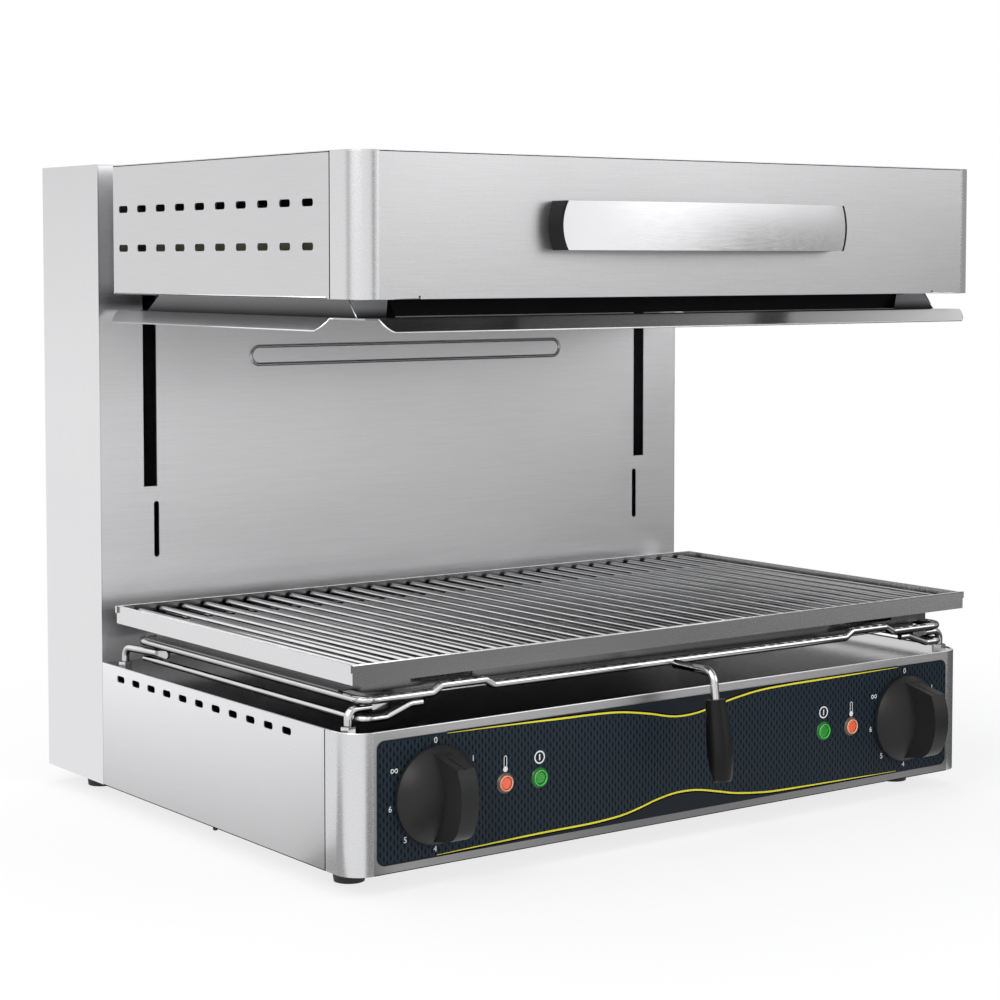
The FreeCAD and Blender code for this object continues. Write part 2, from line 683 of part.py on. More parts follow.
# Floor pan with turned-up edges
floor_outer = round_fronted(INNER, GAUGE, COLUMN_BACK - GAUGE, FLOOR, FLOOR + D.floor_lip,
                            D.post_radius - GAUGE)
floor_inner = round_fronted(INNER - GAUGE, 2 * GAUGE, COLUMN_BACK - 2 * GAUGE, FLOOR + GAUGE,
                            FLOOR + D.floor_lip + 1, D.post_radius - 2 * GAUGE)
node(cut(floor_outer, [floor_inner]), "base_floor")

# Rubber feet, tapered towards the table
feet = []
for side in (-1, 1):
    for depth in (D.foot_front, FOOT_REAR):
        foot_x = (HALF - D.foot_inset_x) * side
        feet.append(cone(foot_x, depth, 0, D.foot_base_radius, D.foot_radius, FLOOR))
node(fuse(feet), "rubber_feet")


def vented_side(label, side, y0, y1, z0, z1, vents):
    """Side panel with one or more rows of slots; vents holds first, height, pitch, count, size."""
    body = new_body(label)
    outline = new_sketch(body, "YZ_Plane", (HALF - GAUGE) if side > 0 else -HALF)
    rectangle(outline, y0, y1, z0, z1)
    pad(body, outline, GAUGE)
    doc.recompute()
    for first, height, pitch, count, length, tall in vents:
        mark = new_sketch(body, "YZ_Plane", (HALF - GAUGE) if side > 0 else -HALF)
        rounded_rectangle(mark, first - length / 2, first + length / 2,
                          height - tall / 2, height + tall / 2, D.vent_corner)
        hole = pocket(body, mark, GAUGE * 2, True)
        linear_pattern(body, hole, mark, "H_Axis", pitch * (count - 1), count)
        doc.recompute()
    return body


def corner_post(label, side, front, z0, z1):
    """Sheet corner: a flat strip on the side, then a quarter round onto the front."""
    body = new_body(label)
    sketch = new_sketch(body, "XY_Plane", z0)
    depth = size(front)
    r_out = D.post_radius
    r_in = D.post_radius - GAUGE
    xo, xi = HALF * side, (HALF - GAUGE) * side
    cx = (HALF - D.post_radius) * side
    cy = depth + D.post_radius
    back = depth + POST_DEPTH
    pts = [V(float(xo), float(back), 0), V(float(xo), float(cy), 0), V(float(cx), float(depth), 0),
           V(float(cx), float(depth + GAUGE), 0), V(float(xi), float(cy), 0), V(float(xi), float(back), 0)]
    centre = V(float(cx), float(cy), 0)
    if side > 0:
        arc_angles = (1.5 * math.pi, 2 * math.pi)
    else:
        arc_angles = (math.pi, 1.5 * math.pi)
    line_a = sketch.addGeometry(Part.LineSegment(pts[0], pts[1]))
    arc_a = sketch.addGeometry(Part.ArcOfCircle(Part.Circle(centre, V(0, 0, 1), float(r_out)), *arc_angles))
    line_b = sketch.addGeometry(Part.LineSegment(pts[2], pts[3]))
    arc_b = sketch.addGeometry(Part.ArcOfCircle(Part.Circle(centre, V(0, 0, 1), float(r_in)), *arc_angles))
    line_c = sketch.addGeometry(Part.LineSegment(pts[4], pts[5]))
    line_d = sketch.addGeometry(Part.LineSegment(pts[5], pts[0]))
    side_end, front_end = (2, 1) if side > 0 else (1, 2)
    sketch.addConstraint(Sketcher.Constraint("Coincident", line_a, 2, arc_a, side_end))
    sketch.addConstraint(Sketcher.Constraint("Coincident", arc_a, front_end, line_b, 1))
    sketch.addConstraint(Sketcher.Constraint("Coincident", line_b, 2, arc_b, front_end))
    sketch.addConstraint(Sketcher.Constraint("Coincident", arc_b, side_end, line_c, 1))
    sketch.addConstraint(Sketcher.Constraint("Coincident", line_c, 2, line_d, 1))
    sketch.addConstraint(Sketcher.Constraint("Coincident", line_d, 2, line_a, 1))
    corner_rules(sketch, line_a, 1, xo, back)
    corner_rules(sketch, line_a, 2, xo, cy)
    corner_rules(sketch, line_b, 1, cx, depth)
    corner_rules(sketch, line_b, 2, cx, depth + GAUGE)
    corner_rules(sketch, line_c, 1, xi, cy)
    corner_rules(sketch, line_c, 2, xi, back)
    rule(sketch, Sketcher.Constraint("Radius", arc_a, float(r_out)), r_out)
    rule(sketch, Sketcher.Constraint("Radius", arc_b, float(r_in)), r_in)
    pad(body, sketch, size(z1) - z0)
    return body


# Base sides and corner posts
base_vent_pitch = (COLUMN_FRONT - D.base_vent_last_gap - D.base_vent_first) / (D.base_vent_count - 1)
BASE_VENTS = [(D.base_vent_first, BASE_TOP - D.base_vent_drop, base_vent_pitch, D.base_vent_count,
               D.base_vent_length, D.base_vent_height)]
for name, side in (("left", -1), ("right", 1)):
    vented_side("base_side_" + name, side, POST_DEPTH + D.seam, COLUMN_FRONT - D.seam,
                FLOOR, BASE_TOP, BASE_VENTS)
    corner_post("base_post_" + name, side, 0.0, FLOOR, BASE_TOP)

# Control panel, with holes for the regulators and lamps
panel = new_body("control_panel")
panel_sketch = new_sketch(panel, "XZ_Plane", -GAUGE)
rectangle(panel_sketch, -PANEL_HALF + D.seam, PANEL_HALF - D.seam, FLOOR, BASE_TOP)
pad(panel, panel_sketch, GAUGE)
doc.recompute()
panel_holes = new_sketch(panel, "XZ_Plane", -GAUGE)
for side in (-1, 1):
    circle(panel_holes, KNOB_X * side, D.control_height, D.bush_radius + D.hole_play)
    for lamp in (LAMP_ORANGE_X, LAMP_GREEN_X):
        circle(panel_holes, lamp * side, D.control_height, D.lens_radius + D.sleeve_wall + D.hole_play)
pocket(panel, panel_holes, GAUGE * 2)

# Dark overlay on the control panel
overlay = new_body("control_overlay")
overlay_sketch = new_sketch(overlay, "XZ_Plane", 0.0)
rounded_rectangle(overlay_sketch, -OVERLAY_HALF, OVERLAY_HALF, FLOOR + D.overlay_rise,
                  FLOOR + D.overlay_rise + D.overlay_height, D.overlay_corner)
pad(overlay, overlay_sketch, D.overlay_gauge)
doc.recompute()
overlay_holes = new_sketch(overlay, "XZ_Plane", 0.0)
for side in (-1, 1):
    circle(overlay_holes, KNOB_X * side, D.control_height, D.bush_radius + D.hole_play)
    for lamp in (LAMP_ORANGE_X, LAMP_GREEN_X):
        circle(overlay_holes, lamp * side, D.control_height, D.lens_radius + D.sleeve_wall + D.hole_play)
pocket(overlay, overlay_holes, D.overlay_gauge * 2, True)

# Deck plate under the rack, with turned-down edges and rounded front corners
deck_body = round_fronted(INNER, GAUGE, COLUMN_FRONT, DECK - GAUGE, DECK, D.post_radius - GAUGE)
deck_holes = []
for side in (-1, 1):
    for depth in (D.stud_front, STUD_REAR):
        deck_holes.append(cylinder(STUD_X * side, depth, DECK - 5, D.stud_radius + D.hole_play, 10))
node(cut(deck_body, deck_holes), "deck_plate")

# Column: two sides, back, top cap and the splash plate in front
for name, side in (("left", -1), ("right", 1)):
    x_low = -HALF if side < 0 else HALF - GAUGE
    x_high = -HALF + GAUGE if side < 0 else HALF
    node(box(x_low, x_high, COLUMN_FRONT, COLUMN_BACK, FLOOR, D.column_height, "column_side"),
         "column_side_" + name)

back_plate = box(-INNER, INNER, COLUMN_BACK - GAUGE, COLUMN_BACK, FLOOR + GAUGE, D.column_height - GAUGE)
back_holes = [cylinder(D.gland_offset, COLUMN_BACK - 5, D.gland_height,
                       D.gland_radius - D.gland_step + D.hole_play, 10, "y")]
for side in (-1, 1):
    back_holes.append(cylinder(D.wall_hole_spacing / 2 * side, COLUMN_BACK - 5, D.column_height - D.wall_hole_drop,
                               D.wall_hole_radius, 10, "y"))
node(cut(back_plate, back_holes), "back_panel")
node(box(-INNER, INNER, COLUMN_FRONT, COLUMN_BACK, D.column_height - GAUGE, D.column_height, "cap"),
     "column_top_cap")

splash = new_body("splash_plate", COLUMN_FRONT)
splash_sketch = new_sketch(splash, "XZ_Plane", -GAUGE)
rectangle(splash_sketch, -INNER, INNER, DECK - D.splash_tuck, D.column_height - GAUGE)
pad(splash, splash_sketch, GAUGE)
doc.recompute()
splash_slots = new_sketch(splash, "XZ_Plane", -GAUGE)
for side in (-1, 1):
    edge_a = SLOT_X * side - D.slot_width / 2
    edge_b = SLOT_X * side + D.slot_width / 2
    rectangle(splash_slots, edge_a, edge_b, SLOT_LOW, D.column_height - D.slot_top_drop)
    slot(splash_slots, KEY_SLOT_X * side, D.key_slot_bottom, D.key_slot_top, D.key_slot_width / 2)
pocket(splash, splash_slots, GAUGE * 2)
bead = new_sketch(splash, "XZ_Plane", 0.0)
rounded_rectangle(bead, -D.bead_half_length, D.bead_half_length, BEAD_LOW,
                  BEAD_LOW + D.bead_height, D.bead_height / 2 - 0.05)
rounded_rectangle(bead, -D.bead_half_length + D.bead_line, D.bead_half_length - D.bead_line,
                  BEAD_LOW + D.bead_line, BEAD_LOW + D.bead_height - D.bead_line,
                  D.bead_height / 2 - D.bead_line - 0.05)
pocket(splash, bead, D.bead_depth, True)

# Guide rods, their brackets and the rubber stop rings, all inside the column
rods = []
brackets = []
buffers = []
for side in (-1, 1):
    rod_x = SLOT_X * side
    rods.append(cylinder(rod_x, ROD_DEPTH, ROD_LOW, D.rod_radius, ROD_HIGH - ROD_LOW))
    for level in (ROD_LOW, ROD_HIGH - D.bracket_height):
        block = box(rod_x - D.bracket_half_width, rod_x + D.bracket_half_width,
                    ROD_DEPTH - D.bracket_front, COLUMN_BACK - GAUGE, level,
                    level + D.bracket_height)
        hole = cylinder(rod_x, ROD_DEPTH, level - 1, D.rod_radius + D.tight_play, D.bracket_height + 2)
        brackets.append(cut(block, [hole]))
    ring_low = CARRIAGE_LOW + D.carriage_height
    ring_high = ROD_HIGH - D.bracket_height
    ring = cylinder(rod_x, ROD_DEPTH, ring_low, D.buffer_radius, ring_high - ring_low)
    ring_hole = cylinder(rod_x, ROD_DEPTH, ring_low - 1, D.rod_radius + D.tight_play, ring_high - ring_low + 2)
    buffers.append(cut(ring, [ring_hole]))
node(fuse(rods), "guide_rods")
node(fuse(brackets), "rod_brackets")
node(fuse(buffers), "stop_rings")


def lift_spring(label, side):
    """Open coil of half turns between the lower bracket and the carriage."""
    low = float(ROD_LOW + D.bracket_height)
    high = float(CARRIAGE_LOW)
    wire = float(D.spring_wire)
    mean = float(D.spring_radius)
    turns = int(float(D.spring_turns))
    rise = (high - low - 2 * wire - 0.6) / turns
    level = low + wire + 0.3
    x = float(SLOT_X) * side
    y = float(ROD_DEPTH)
    edges = []
    for half in range(2 * turns):
        way = 1 if half % 2 == 0 else -1
        start = V(x + mean * way, y, level + half * rise / 2)
        end = V(x - mean * way, y, level + (half + 1) * rise / 2)
        span = (end - start).Length / 2
        middle = (start + end) / 2 + V(0, span * way, 0)
        edges.append(Part.Arc(start, middle, end).toShape())
    first = edges[0]
    ring = Part.Wire(Part.makeCircle(wire, first.valueAt(first.FirstParameter),
                                     first.tangentAt(first.FirstParameter)))
    coil = Part.Wire(edges).makePipeShell([ring], True)
    return shape_node(coil, label)


lift_spring("lift_spring_left", -1)
lift_spring("lift_spring_right", 1)

# Regulators behind the knobs: case, threaded neck and shaft
cases = []
for side in (-1, 1):
    knob_x = KNOB_X * side
    half = D.regulator_width / 2
    case = box(knob_x - half, knob_x + half, GAUGE, GAUGE + D.regulator_depth,
               D.control_height - half, D.control_height + half)
    neck = cylinder(knob_x, D.regulator_depth, D.control_height, D.bush_radius,
                    D.regulator_depth + D.overlay_gauge, "-y")
    bore = cylinder(knob_x, D.regulator_depth - 4, D.control_height, D.shaft_radius + D.shaft_clearance,
                    D.regulator_depth + 10, "-y")
    cases.append(cut(fuse([case, neck]), [bore]))
node(fuse(cases), "energy_regulators")

for name, side in (("left", -1), ("right", 1)):
    knob_x = KNOB_X * side
    shaft_back = D.regulator_depth - 5
    shaft_front = D.overlay_gauge + D.knob_gap + D.shaft_socket
    node(cylinder(knob_x, shaft_back, D.control_height, D.shaft_radius, shaft_back + shaft_front, "-y", "shaft"),
         "regulator_shaft_" + name)

# Knobs: a domed skirt with an upright grip bar
for name, side in (("left", -1), ("right", 1)):
    knob = new_body("knob_" + name)
    bind(knob, ".Placement.Base.x", KNOB_X * side)
    bind(knob, ".Placement.Base.z", D.control_height)
    start = D.overlay_gauge + D.knob_gap
    dome = new_sketch(knob, "YZ_Plane", 0.0)
    rounded_outline(dome, [
        (-start, D.shaft_radius + D.tight_play),
        (-start, D.knob_radius),
        (-start - D.knob_rim, D.knob_radius),
        (-D.overlay_gauge - D.knob_dome, D.shaft_radius + D.tight_play),
    ], {2: (None, 1)})
    revolve(knob, dome, "H_Axis")
    doc.recompute()
    bar = new_sketch(knob, "YZ_Plane", -D.knob_bar_width / 2)
    rounded_outline(bar, [
        (-start - D.knob_rim, -D.knob_bar_foot),
        (-D.overlay_gauge - D.knob_end_reach * 0.62, -D.knob_bar_foot + D.knob_bar_taper),
        (-D.overlay_gauge - D.knob_end_reach - 0.5, -D.knob_bar_half * 0.76),
        (-D.overlay_gauge - D.knob_end_reach, D.knob_bar_half),
        (-start - D.knob_rim, D.knob_bar_foot),
    ], {1: (D.knob_bar_round, -1), 2: (D.knob_bar_bow, -1)})
    pad(knob, bar, D.knob_bar_width)
    doc.recompute()
    # Engraved line along the slope at the bar's upper end
    corner_y = -D.overlay_gauge - D.knob_end_reach
    foot_y = -start - D.knob_rim
    line = new_sketch(knob, "YZ_Plane", -D.knob_line_width / 2)
    polygon(line, [
        (corner_y - 1, D.knob_bar_half - D.knob_line_depth),
        (foot_y * 0.6 + corner_y * 0.4, D.knob_bar_foot * 0.6 + D.knob_bar_half * 0.4 - D.knob_line_depth),
        (foot_y * 0.6 + corner_y * 0.4, D.knob_bar_foot + 2),
        (corner_y - 1, D.knob_bar_foot + 2),
    ])
    pocket(knob, line, D.knob_line_width)
    socket = new_sketch(knob, "XZ_Plane", start)
    circle(socket, 0, 0, D.shaft_radius + D.tight_play)
    pocket(knob, socket, D.shaft_socket, True)

# Signal lamps
bezels = []
lenses = {"orange": [], "green": []}
for side in (-1, 1):
    for colour, lamp in (("orange", LAMP_ORANGE_X), ("green", LAMP_GREEN_X)):
        x = lamp * side
        collar = cone(x, -D.overlay_gauge, D.control_height, D.bezel_radius, D.bezel_radius - 1.0,
                      D.bezel_height, "-y")
        sleeve = cylinder(x, D.lamp_depth, D.control_height, D.lens_radius + D.sleeve_wall,
                          D.lamp_depth + D.overlay_gauge, "-y")
        inside = cylinder(x, D.lamp_depth - 3, D.control_height, D.lens_radius,
                          D.lamp_depth + D.overlay_gauge + 10, "-y")
        bezels.append(cut(fuse([collar, sleeve]), [inside]))
        barrel = cylinder(x, D.lamp_depth - 3, D.control_height, D.lens_radius - D.tight_play,
                          D.lamp_depth - 3 + D.overlay_gauge + D.lens_reach - 1.0, "-y")
        crown = cone(x, -D.overlay_gauge - D.lens_reach + 1.0, D.control_height,
                     D.lens_radius - D.tight_play, D.lens_radius - 1.6, 1.0, "-y")
        lenses[colour].append(fuse([barrel, crown]))
node(fuse(bezels), "lamp_bezels")
node(fuse(lenses["orange"]), "lamp_lenses_orange")
node(fuse(lenses["green"]), "lamp_lenses_green")

# Mains inlet: gland through the back panel and a terminal block on the floor pan
gland_body = fuse([
    cylinder(D.gland_offset, COLUMN_BACK, D.gland_height, D.gland_radius, D.gland_reach, "y"),
    cylinder(D.gland_offset, COLUMN_BACK - GAUGE - 8, D.gland_height, D.gland_radius - D.gland_step,
             GAUGE + 8, "y"),
    cylinder(D.gland_offset, COLUMN_BACK - GAUGE - 6, D.gland_height, D.gland_radius, 6, "y"),
])
gland_hole = cylinder(D.gland_offset, COLUMN_BACK - 30, D.gland_height, D.gland_bore, 60, "y")
node(cut(gland_body, [gland_hole]), "cable_gland")
block_half = D.terminal_width / 2
block = box(D.gland_offset - block_half, D.gland_offset + block_half, COLUMN_BACK - 70, COLUMN_BACK - 45,
            FLOOR + GAUGE, FLOOR + GAUGE + 24)
block_cuts = []
for index in range(4):
    cell_x = D.gland_offset - block_half + D.terminal_width * (index * 0.24 + 0.08)
    block_cuts.append(box(cell_x, cell_x + D.terminal_width * 0.12, COLUMN_BACK - 71, COLUMN_BACK - 50,
                          FLOOR + GAUGE + 14, FLOOR + GAUGE + 25))
node(cut(block, block_cuts), "terminal_block")

# Screws that hold the back panel
screws = []
for side in (-1, 1):
    for index in range(4):
        level = FLOOR + 30 + (D.column_height - FLOOR - 60) * (index / 3.0)
        x = (INNER - 10) * side
        screws.append(cylinder(x, COLUMN_BACK, level, D.screw_radius, D.screw_head, "y"))
node(fuse(screws), "back_panel_screws")

# Rack studs: bent rods with flattened tips, and their nuts on the deck
arm_level = float(DECK + D.stud_rise)
studs = []
for side in (-1, 1):
    x = float(STUD_X) * side
    for depth, way, reach in ((float(D.stud_front), V(-side, 0, 0), float(D.stud_arm_front)),
                              (float(STUD_REAR), V(-0.16 * side, -0.987, 0), float(D.stud_arm_rear))):
        foot = V(x, depth, float(DECK) - 8.0)
        elbow = V(x, depth, arm_level)
        along = way.normalize()
        neck = elbow + along * (reach - float(D.tip_length))
        rod = bent_rod([foot, elbow, neck], float(D.stud_bend), float(D.stud_radius))
        across = V(0, 0, 1).cross(along)
        half_gauge = float(D.tip_gauge) / 2
        half_tip = float(D.tip_height) / 2
        length = float(D.tip_length)
        root = neck - along * 2.0
        outline = [root + V(0, 0, 1.6), neck + along * length + V(0, 0, half_tip),
                   neck + along * (length + 2.0) + V(0, 0, half_tip * 0.5),
                   neck + along * (length + 2.0) - V(0, 0, half_tip * 0.5),
                   neck + along * length - V(0, 0, half_tip), root - V(0, 0, 1.6)]
        outline = [point - across * half_gauge for point in outline]
        face = Part.Face(Part.makePolygon(outline + [outline[0]]))
        blade = face.extrude(across * (2 * half_gauge))
        studs.append(rod.fuse(blade))
shape_node(solids_of(studs), "rack_studs")

nuts = []
for side in (-1, 1):
    for depth in (D.stud_front, STUD_REAR):
        x = STUD_X * side
        body_hex = fresh("Part::Prism", "hexagon")
        body_hex.Polygon = 6
        bind(body_hex, "Circumradius", D.nut_flats * 0.57735)
        bind(body_hex, "Height", D.nut_height)
        place(body_hex, x, depth, DECK)
        nut_hole = cylinder(x, depth, DECK - 1, D.stud_radius + D.tight_play, D.nut_height + 2)
        nuts.append(cut(body_hex, [nut_hole]))
node(fuse(nuts), "stud_nuts")

# Heating head: sides, corner posts, front, top, rear
HEAD_VENTS = []
head_vent_pitch = (HEAD_BACK - D.head_vent_last_gap - D.head_vent_first) / (D.head_vent_count - 1)
for level in (HEAD_LOW + D.head_vent_low, HEAD_LOW + D.head_vent_low + D.head_vent_rows):
    HEAD_VENTS.append((D.head_vent_first, level, head_vent_pitch, D.head_vent_count,
                       D.head_vent_length, D.head_vent_height))
for name, side in (("left", -1), ("right", 1)):
    vented_side("head_side_" + name, side, HEAD_FRONT + POST_DEPTH + D.seam, HEAD_BACK,
                HEAD_LOW, HEAD_HIGH - GAUGE, HEAD_VENTS)
    corner_post("head_post_" + name, side, HEAD_FRONT, HEAD_LOW, HEAD_HIGH - GAUGE)

front = new_body("head_front_panel")
front_sketch = new_sketch(front, "XZ_Plane", D.head_overhang - GAUGE)
rectangle(front_sketch, -PANEL_HALF + D.seam, PANEL_HALF - D.seam, HEAD_LOW, HEAD_HIGH - GAUGE)
pad(front, front_sketch, GAUGE)
doc.recompute()
front_notches = new_sketch(front, "XZ_Plane", D.head_overhang - GAUGE)
for side in (-1, 1):
    rectangle(front_notches, NOTCH_X * side - 0.8, NOTCH_X * side + 0.8,
              HEAD_LOW - 1, HEAD_LOW + 2.2)
pocket(front, front_notches, GAUGE * 2)

node(round_fronted(HALF, HEAD_FRONT, HEAD_BACK, HEAD_HIGH - GAUGE, HEAD_HIGH, D.post_radius),
     "head_top_cover")

rear_plate = box(-INNER, INNER, HEAD_BACK - GAUGE, HEAD_BACK, HEAD_LOW, HEAD_HIGH - GAUGE)
node(rear_plate, "head_rear_panel")

# Bottom plate of the head with the opening of the hood
bottom = round_fronted(INNER, HEAD_FRONT + GAUGE, HEAD_BACK - GAUGE, HEAD_LOW, HEAD_LOW + GAUGE,
                       D.post_radius - GAUGE)
bottom_mouth = box(-SKIRT_HALF + GAUGE, SKIRT_HALF - GAUGE, D.skirt_top_front + GAUGE,
                   SKIRT_TOP_REAR - GAUGE, HEAD_LOW - 1, HEAD_LOW + GAUGE + 1)
node(cut(bottom, [bottom_mouth]), "head_bottom_plate")


def frustum(x_low, x_high, y_low, y_high, z_low, z_high):
    """Straight-sided solid between two level rectangles, given as half width and depth range."""
    def ring(half, depths, level):
        corners = [V(-half, depths[0], level), V(half, depths[0], level),
                   V(half, depths[1], level), V(-half, depths[1], level)]
        return Part.makePolygon(corners + [corners[0]])
    return Part.makeLoft([ring(x_low, y_low, z_low), ring(x_high, y_high, z_high)], True, True)


# Hood skirt: upright side walls, front and rear walls that lean outwards
skirt_top = float(HEAD_LOW)
skirt_low = float(HEAD_LOW - D.skirt_drop)
skin = float(GAUGE)
skirt_half = float(SKIRT_HALF)
y_top = (float(D.skirt_top_front), float(SKIRT_TOP_REAR))
y_low = (y_top[0] - float(D.skirt_front_flare), y_top[1] + float(D.skirt_rear_flare))
outer_hood = frustum(skirt_half, skirt_half, y_low, y_top, skirt_low, skirt_top)
inner_hood = frustum(skirt_half - skin, skirt_half - skin, (y_low[0] + skin, y_low[1] - skin),
                     (y_top[0] + skin, y_top[1] - skin), skirt_low - 0.01, skirt_top + 0.01)
hood = outer_hood.cut(inner_hood)

# Dark strip on the front wall of the hood
strip_half = float(NOTCH_X)
fold = float(D.strip_fold)
opening = Part.makeBox(2 * strip_half, y_top[0] + skin - y_low[0] + 1.0, skirt_top - skirt_low + 1.0,
                       V(-strip_half, y_low[0] - 1.0, skirt_low - 1.0))
hood = hood.cut(opening)
strip_points = [V(-strip_half, y_top[0] + skin, skirt_top), V(-strip_half, y_top[0] + skin, skirt_low + 0.4),
                V(-strip_half, y_top[0], skirt_low + 0.4), V(-strip_half, y_top[0], skirt_top - skin),
                V(-strip_half, y_top[0] - fold, skirt_top - skin), V(-strip_half, y_top[0] - fold, skirt_top)]
strip_face = Part.Face(Part.makePolygon(strip_points + [strip_points[0]]))
strip = strip_face.extrude(V(2 * strip_half, 0, 0))
shape_node(hood, "hood_skirt")
shape_node(strip, "hood_front_strip")

# Flat rim round the mouth of the hood, with sloped lips on three sides
rim_top = skirt_low
rim_low = skirt_low - skin
rim_half = float(SKIRT_HALF + D.flange_reach)
rim_front = -float(D.flange_front)
rim_rear = float(COLUMN_FRONT - D.flange_rear_gap)
relief = float(D.lip_relief)
rim_corners = [
    V(-rim_half, rim_rear, rim_low), V(-rim_half, rim_front + relief, rim_low),
    V(-rim_half + relief, rim_front, rim_low), V(rim_half - relief, rim_front, rim_low),
    V(rim_half, rim_front + relief, rim_low), V(rim_half, rim_rear, rim_low),
]
plate = Part.Face(Part.makePolygon(rim_corners + [rim_corners[0]])).extrude(V(0, 0, skin))
mouth = Part.makeBox(2 * (skirt_half - skin), y_low[1] - y_low[0] - 2 * skin, 3 * skin,
                     V(-skirt_half + skin, y_low[0] + skin, rim_low - skin))
rim = plate.cut(mouth)
out = float(D.lip_out)
down = float(D.lip_down)
lip_start = float(D.lip_side_start)


def lip(start, end, outward):
    """Sloped strip along one edge of the rim, with its two ends rounded off."""
    along = (end - start).normalize()
    drop = outward * out - V(0, 0, down)
    low_start = start + drop + along * relief
    low_end = end + drop - along * relief
    unit = drop * (1.0 / drop.Length)
    start_bow = (unit - along) * (relief * 0.18)
    end_bow = (unit + along) * (relief * 0.18)
    edges = [
        Part.makeLine(start, end),
        Part.Arc(end, (end + low_end) / 2 + end_bow, low_end).toShape(),
        Part.makeLine(low_end, low_start),
        Part.Arc(low_start, (low_start + start) / 2 + start_bow, start).toShape(),
    ]
    return Part.Face(Part.Wire(edges)).extrude(V(0, 0, -skin))


lips = [
    lip(V(-rim_half, rim_rear, rim_top), V(-rim_half, lip_start, rim_top), V(-1, 0, 0)),
    lip(V(-rim_half + relief, rim_front, rim_top), V(rim_half - relief, rim_front, rim_top), V(0, -1, 0)),
    lip(V(rim_half, lip_start, rim_top), V(rim_half, rim_rear, rim_top), V(1, 0, 0)),
]
for piece in lips:
    rim = rim.fuse(piece)
shape_node(rim.removeSplitter(), "hood_flange")

# Bowed handle on the head, between two black end caps
z_mid = float(HEAD_LOW + D.handle_centre)
z_half = float(D.handle_height) / 2
half_len = float(D.handle_half_length)
bulge = float(D.handle_end_bulge)
face_y = -float(D.head_overhang)
end_y = face_y - float(D.handle_end_reach)
mid_y = end_y - float(D.handle_bow)
strip_gauge = float(D.handle_gauge)


bow_radius = (half_len ** 2 + float(D.handle_bow) ** 2) / (2 * float(D.handle_bow))
bow_centre = mid_y + bow_radius
overrun = 3.0


def bow(offset, level):
    """Arc of the handle in plan, moved back by an offset, a little longer than the handle."""
    radius = bow_radius - offset
    reach = half_len + overrun
    end_depth = bow_centre - math.sqrt(radius ** 2 - reach ** 2)
    return Part.Arc(V(-reach, end_depth, level), V(0, bow_centre - radius, level),
                    V(reach, end_depth, level)).toShape()


def bowed_slab(z_low, z_high, front_offset, back_depth=None, back_offset=None):
    """Upright slab behind the bow, closed by a second arc or by a straight rear face."""
    front_arc = bow(front_offset, z_low)
    start = front_arc.Vertexes[0].Point
    end = front_arc.Vertexes[-1].Point
    if back_offset is not None:
        back_arc = bow(back_offset, z_low)
    else:
        back_arc = Part.makeLine(V(start.x, back_depth, z_low), V(end.x, back_depth, z_low))
    left = Part.makeLine(start, back_arc.Vertexes[0].Point)
    right = Part.makeLine(end, back_arc.Vertexes[-1].Point)
    face = Part.Face(Part.Wire(Part.__sortEdges__([front_arc, right, back_arc, left])))
    return face.extrude(V(0, 0, z_high - z_low))


slab = bowed_slab(z_mid - z_half, z_mid + z_half, 0.0, back_offset=strip_gauge)
handle_depth = float(D.head_overhang + D.handle_end_reach + D.handle_bow) * 2


def between_end_arcs(inset):
    """The room between the rounded ends of the handle, seen from the front."""
    reach = half_len - inset
    arc_left = Part.Arc(V(-reach + bulge, 0, z_mid - z_half - 1), V(-reach, 0, z_mid),
                        V(-reach + bulge, 0, z_mid + z_half + 1)).toShape()
    arc_right = Part.Arc(V(reach - bulge, 0, z_mid - z_half - 1), V(reach, 0, z_mid),
                         V(reach - bulge, 0, z_mid + z_half + 1)).toShape()
    low_line = Part.makeLine(arc_left.Vertexes[0].Point, arc_right.Vertexes[0].Point)
    high_line = Part.makeLine(arc_left.Vertexes[-1].Point, arc_right.Vertexes[-1].Point)
    face = Part.Face(Part.Wire(Part.__sortEdges__([arc_left, high_line, arc_right, low_line])))
    return face.extrude(V(0, -handle_depth, 0))


strip = slab.common(between_end_arcs(float(D.cap_lip)))
shape_node(strip, "handle_strip")

cap_depth = float(D.cap_thickness)
filler = bowed_slab(z_mid - z_half, z_mid + z_half, 0.0, back_depth=face_y)
filler = filler.common(between_end_arcs(0.0)).cut(strip)
caps = []
for side in (-1, 1):
    zone = Part.makeBox(cap_depth, handle_depth, 4 * z_half,
                        V(-half_len if side < 0 else half_len - cap_depth, -handle_depth,
                          z_mid - 2 * z_half))
    caps.append(filler.common(zone))
shape_node(solids_of(caps), "handle_end_caps")

# Reflector over the elements and the blanket on top of it
roof = float(HEAD_LOW + D.reflector_rise)
tin = float(D.reflector_gauge)
box_low = float(HEAD_LOW + GAUGE)
ref_half = skirt_half + 6.0
ref_front = y_top[0] - 6.0
ref_rear = y_top[1] + 6.0
reflector_out = frustum(ref_half, ref_half - 14, (ref_front, ref_rear), (ref_front + 14, ref_rear - 14),
                        box_low, roof)
reflector_in = frustum(ref_half - tin, ref_half - 14 - tin, (ref_front + tin, ref_rear - tin),
                       (ref_front + 14 + tin, ref_rear - 14 - tin), box_low - 0.01, roof - tin)
shape_node(reflector_out.cut(reflector_in), "reflector")
blanket = box(-INNER + 24, INNER - 24, HEAD_FRONT + 32, HEAD_BACK - 24, HEAD_LOW + D.reflector_rise,
              HEAD_LOW + D.reflector_rise + D.blanket_thickness)
node(blanket, "insulating_blanket")


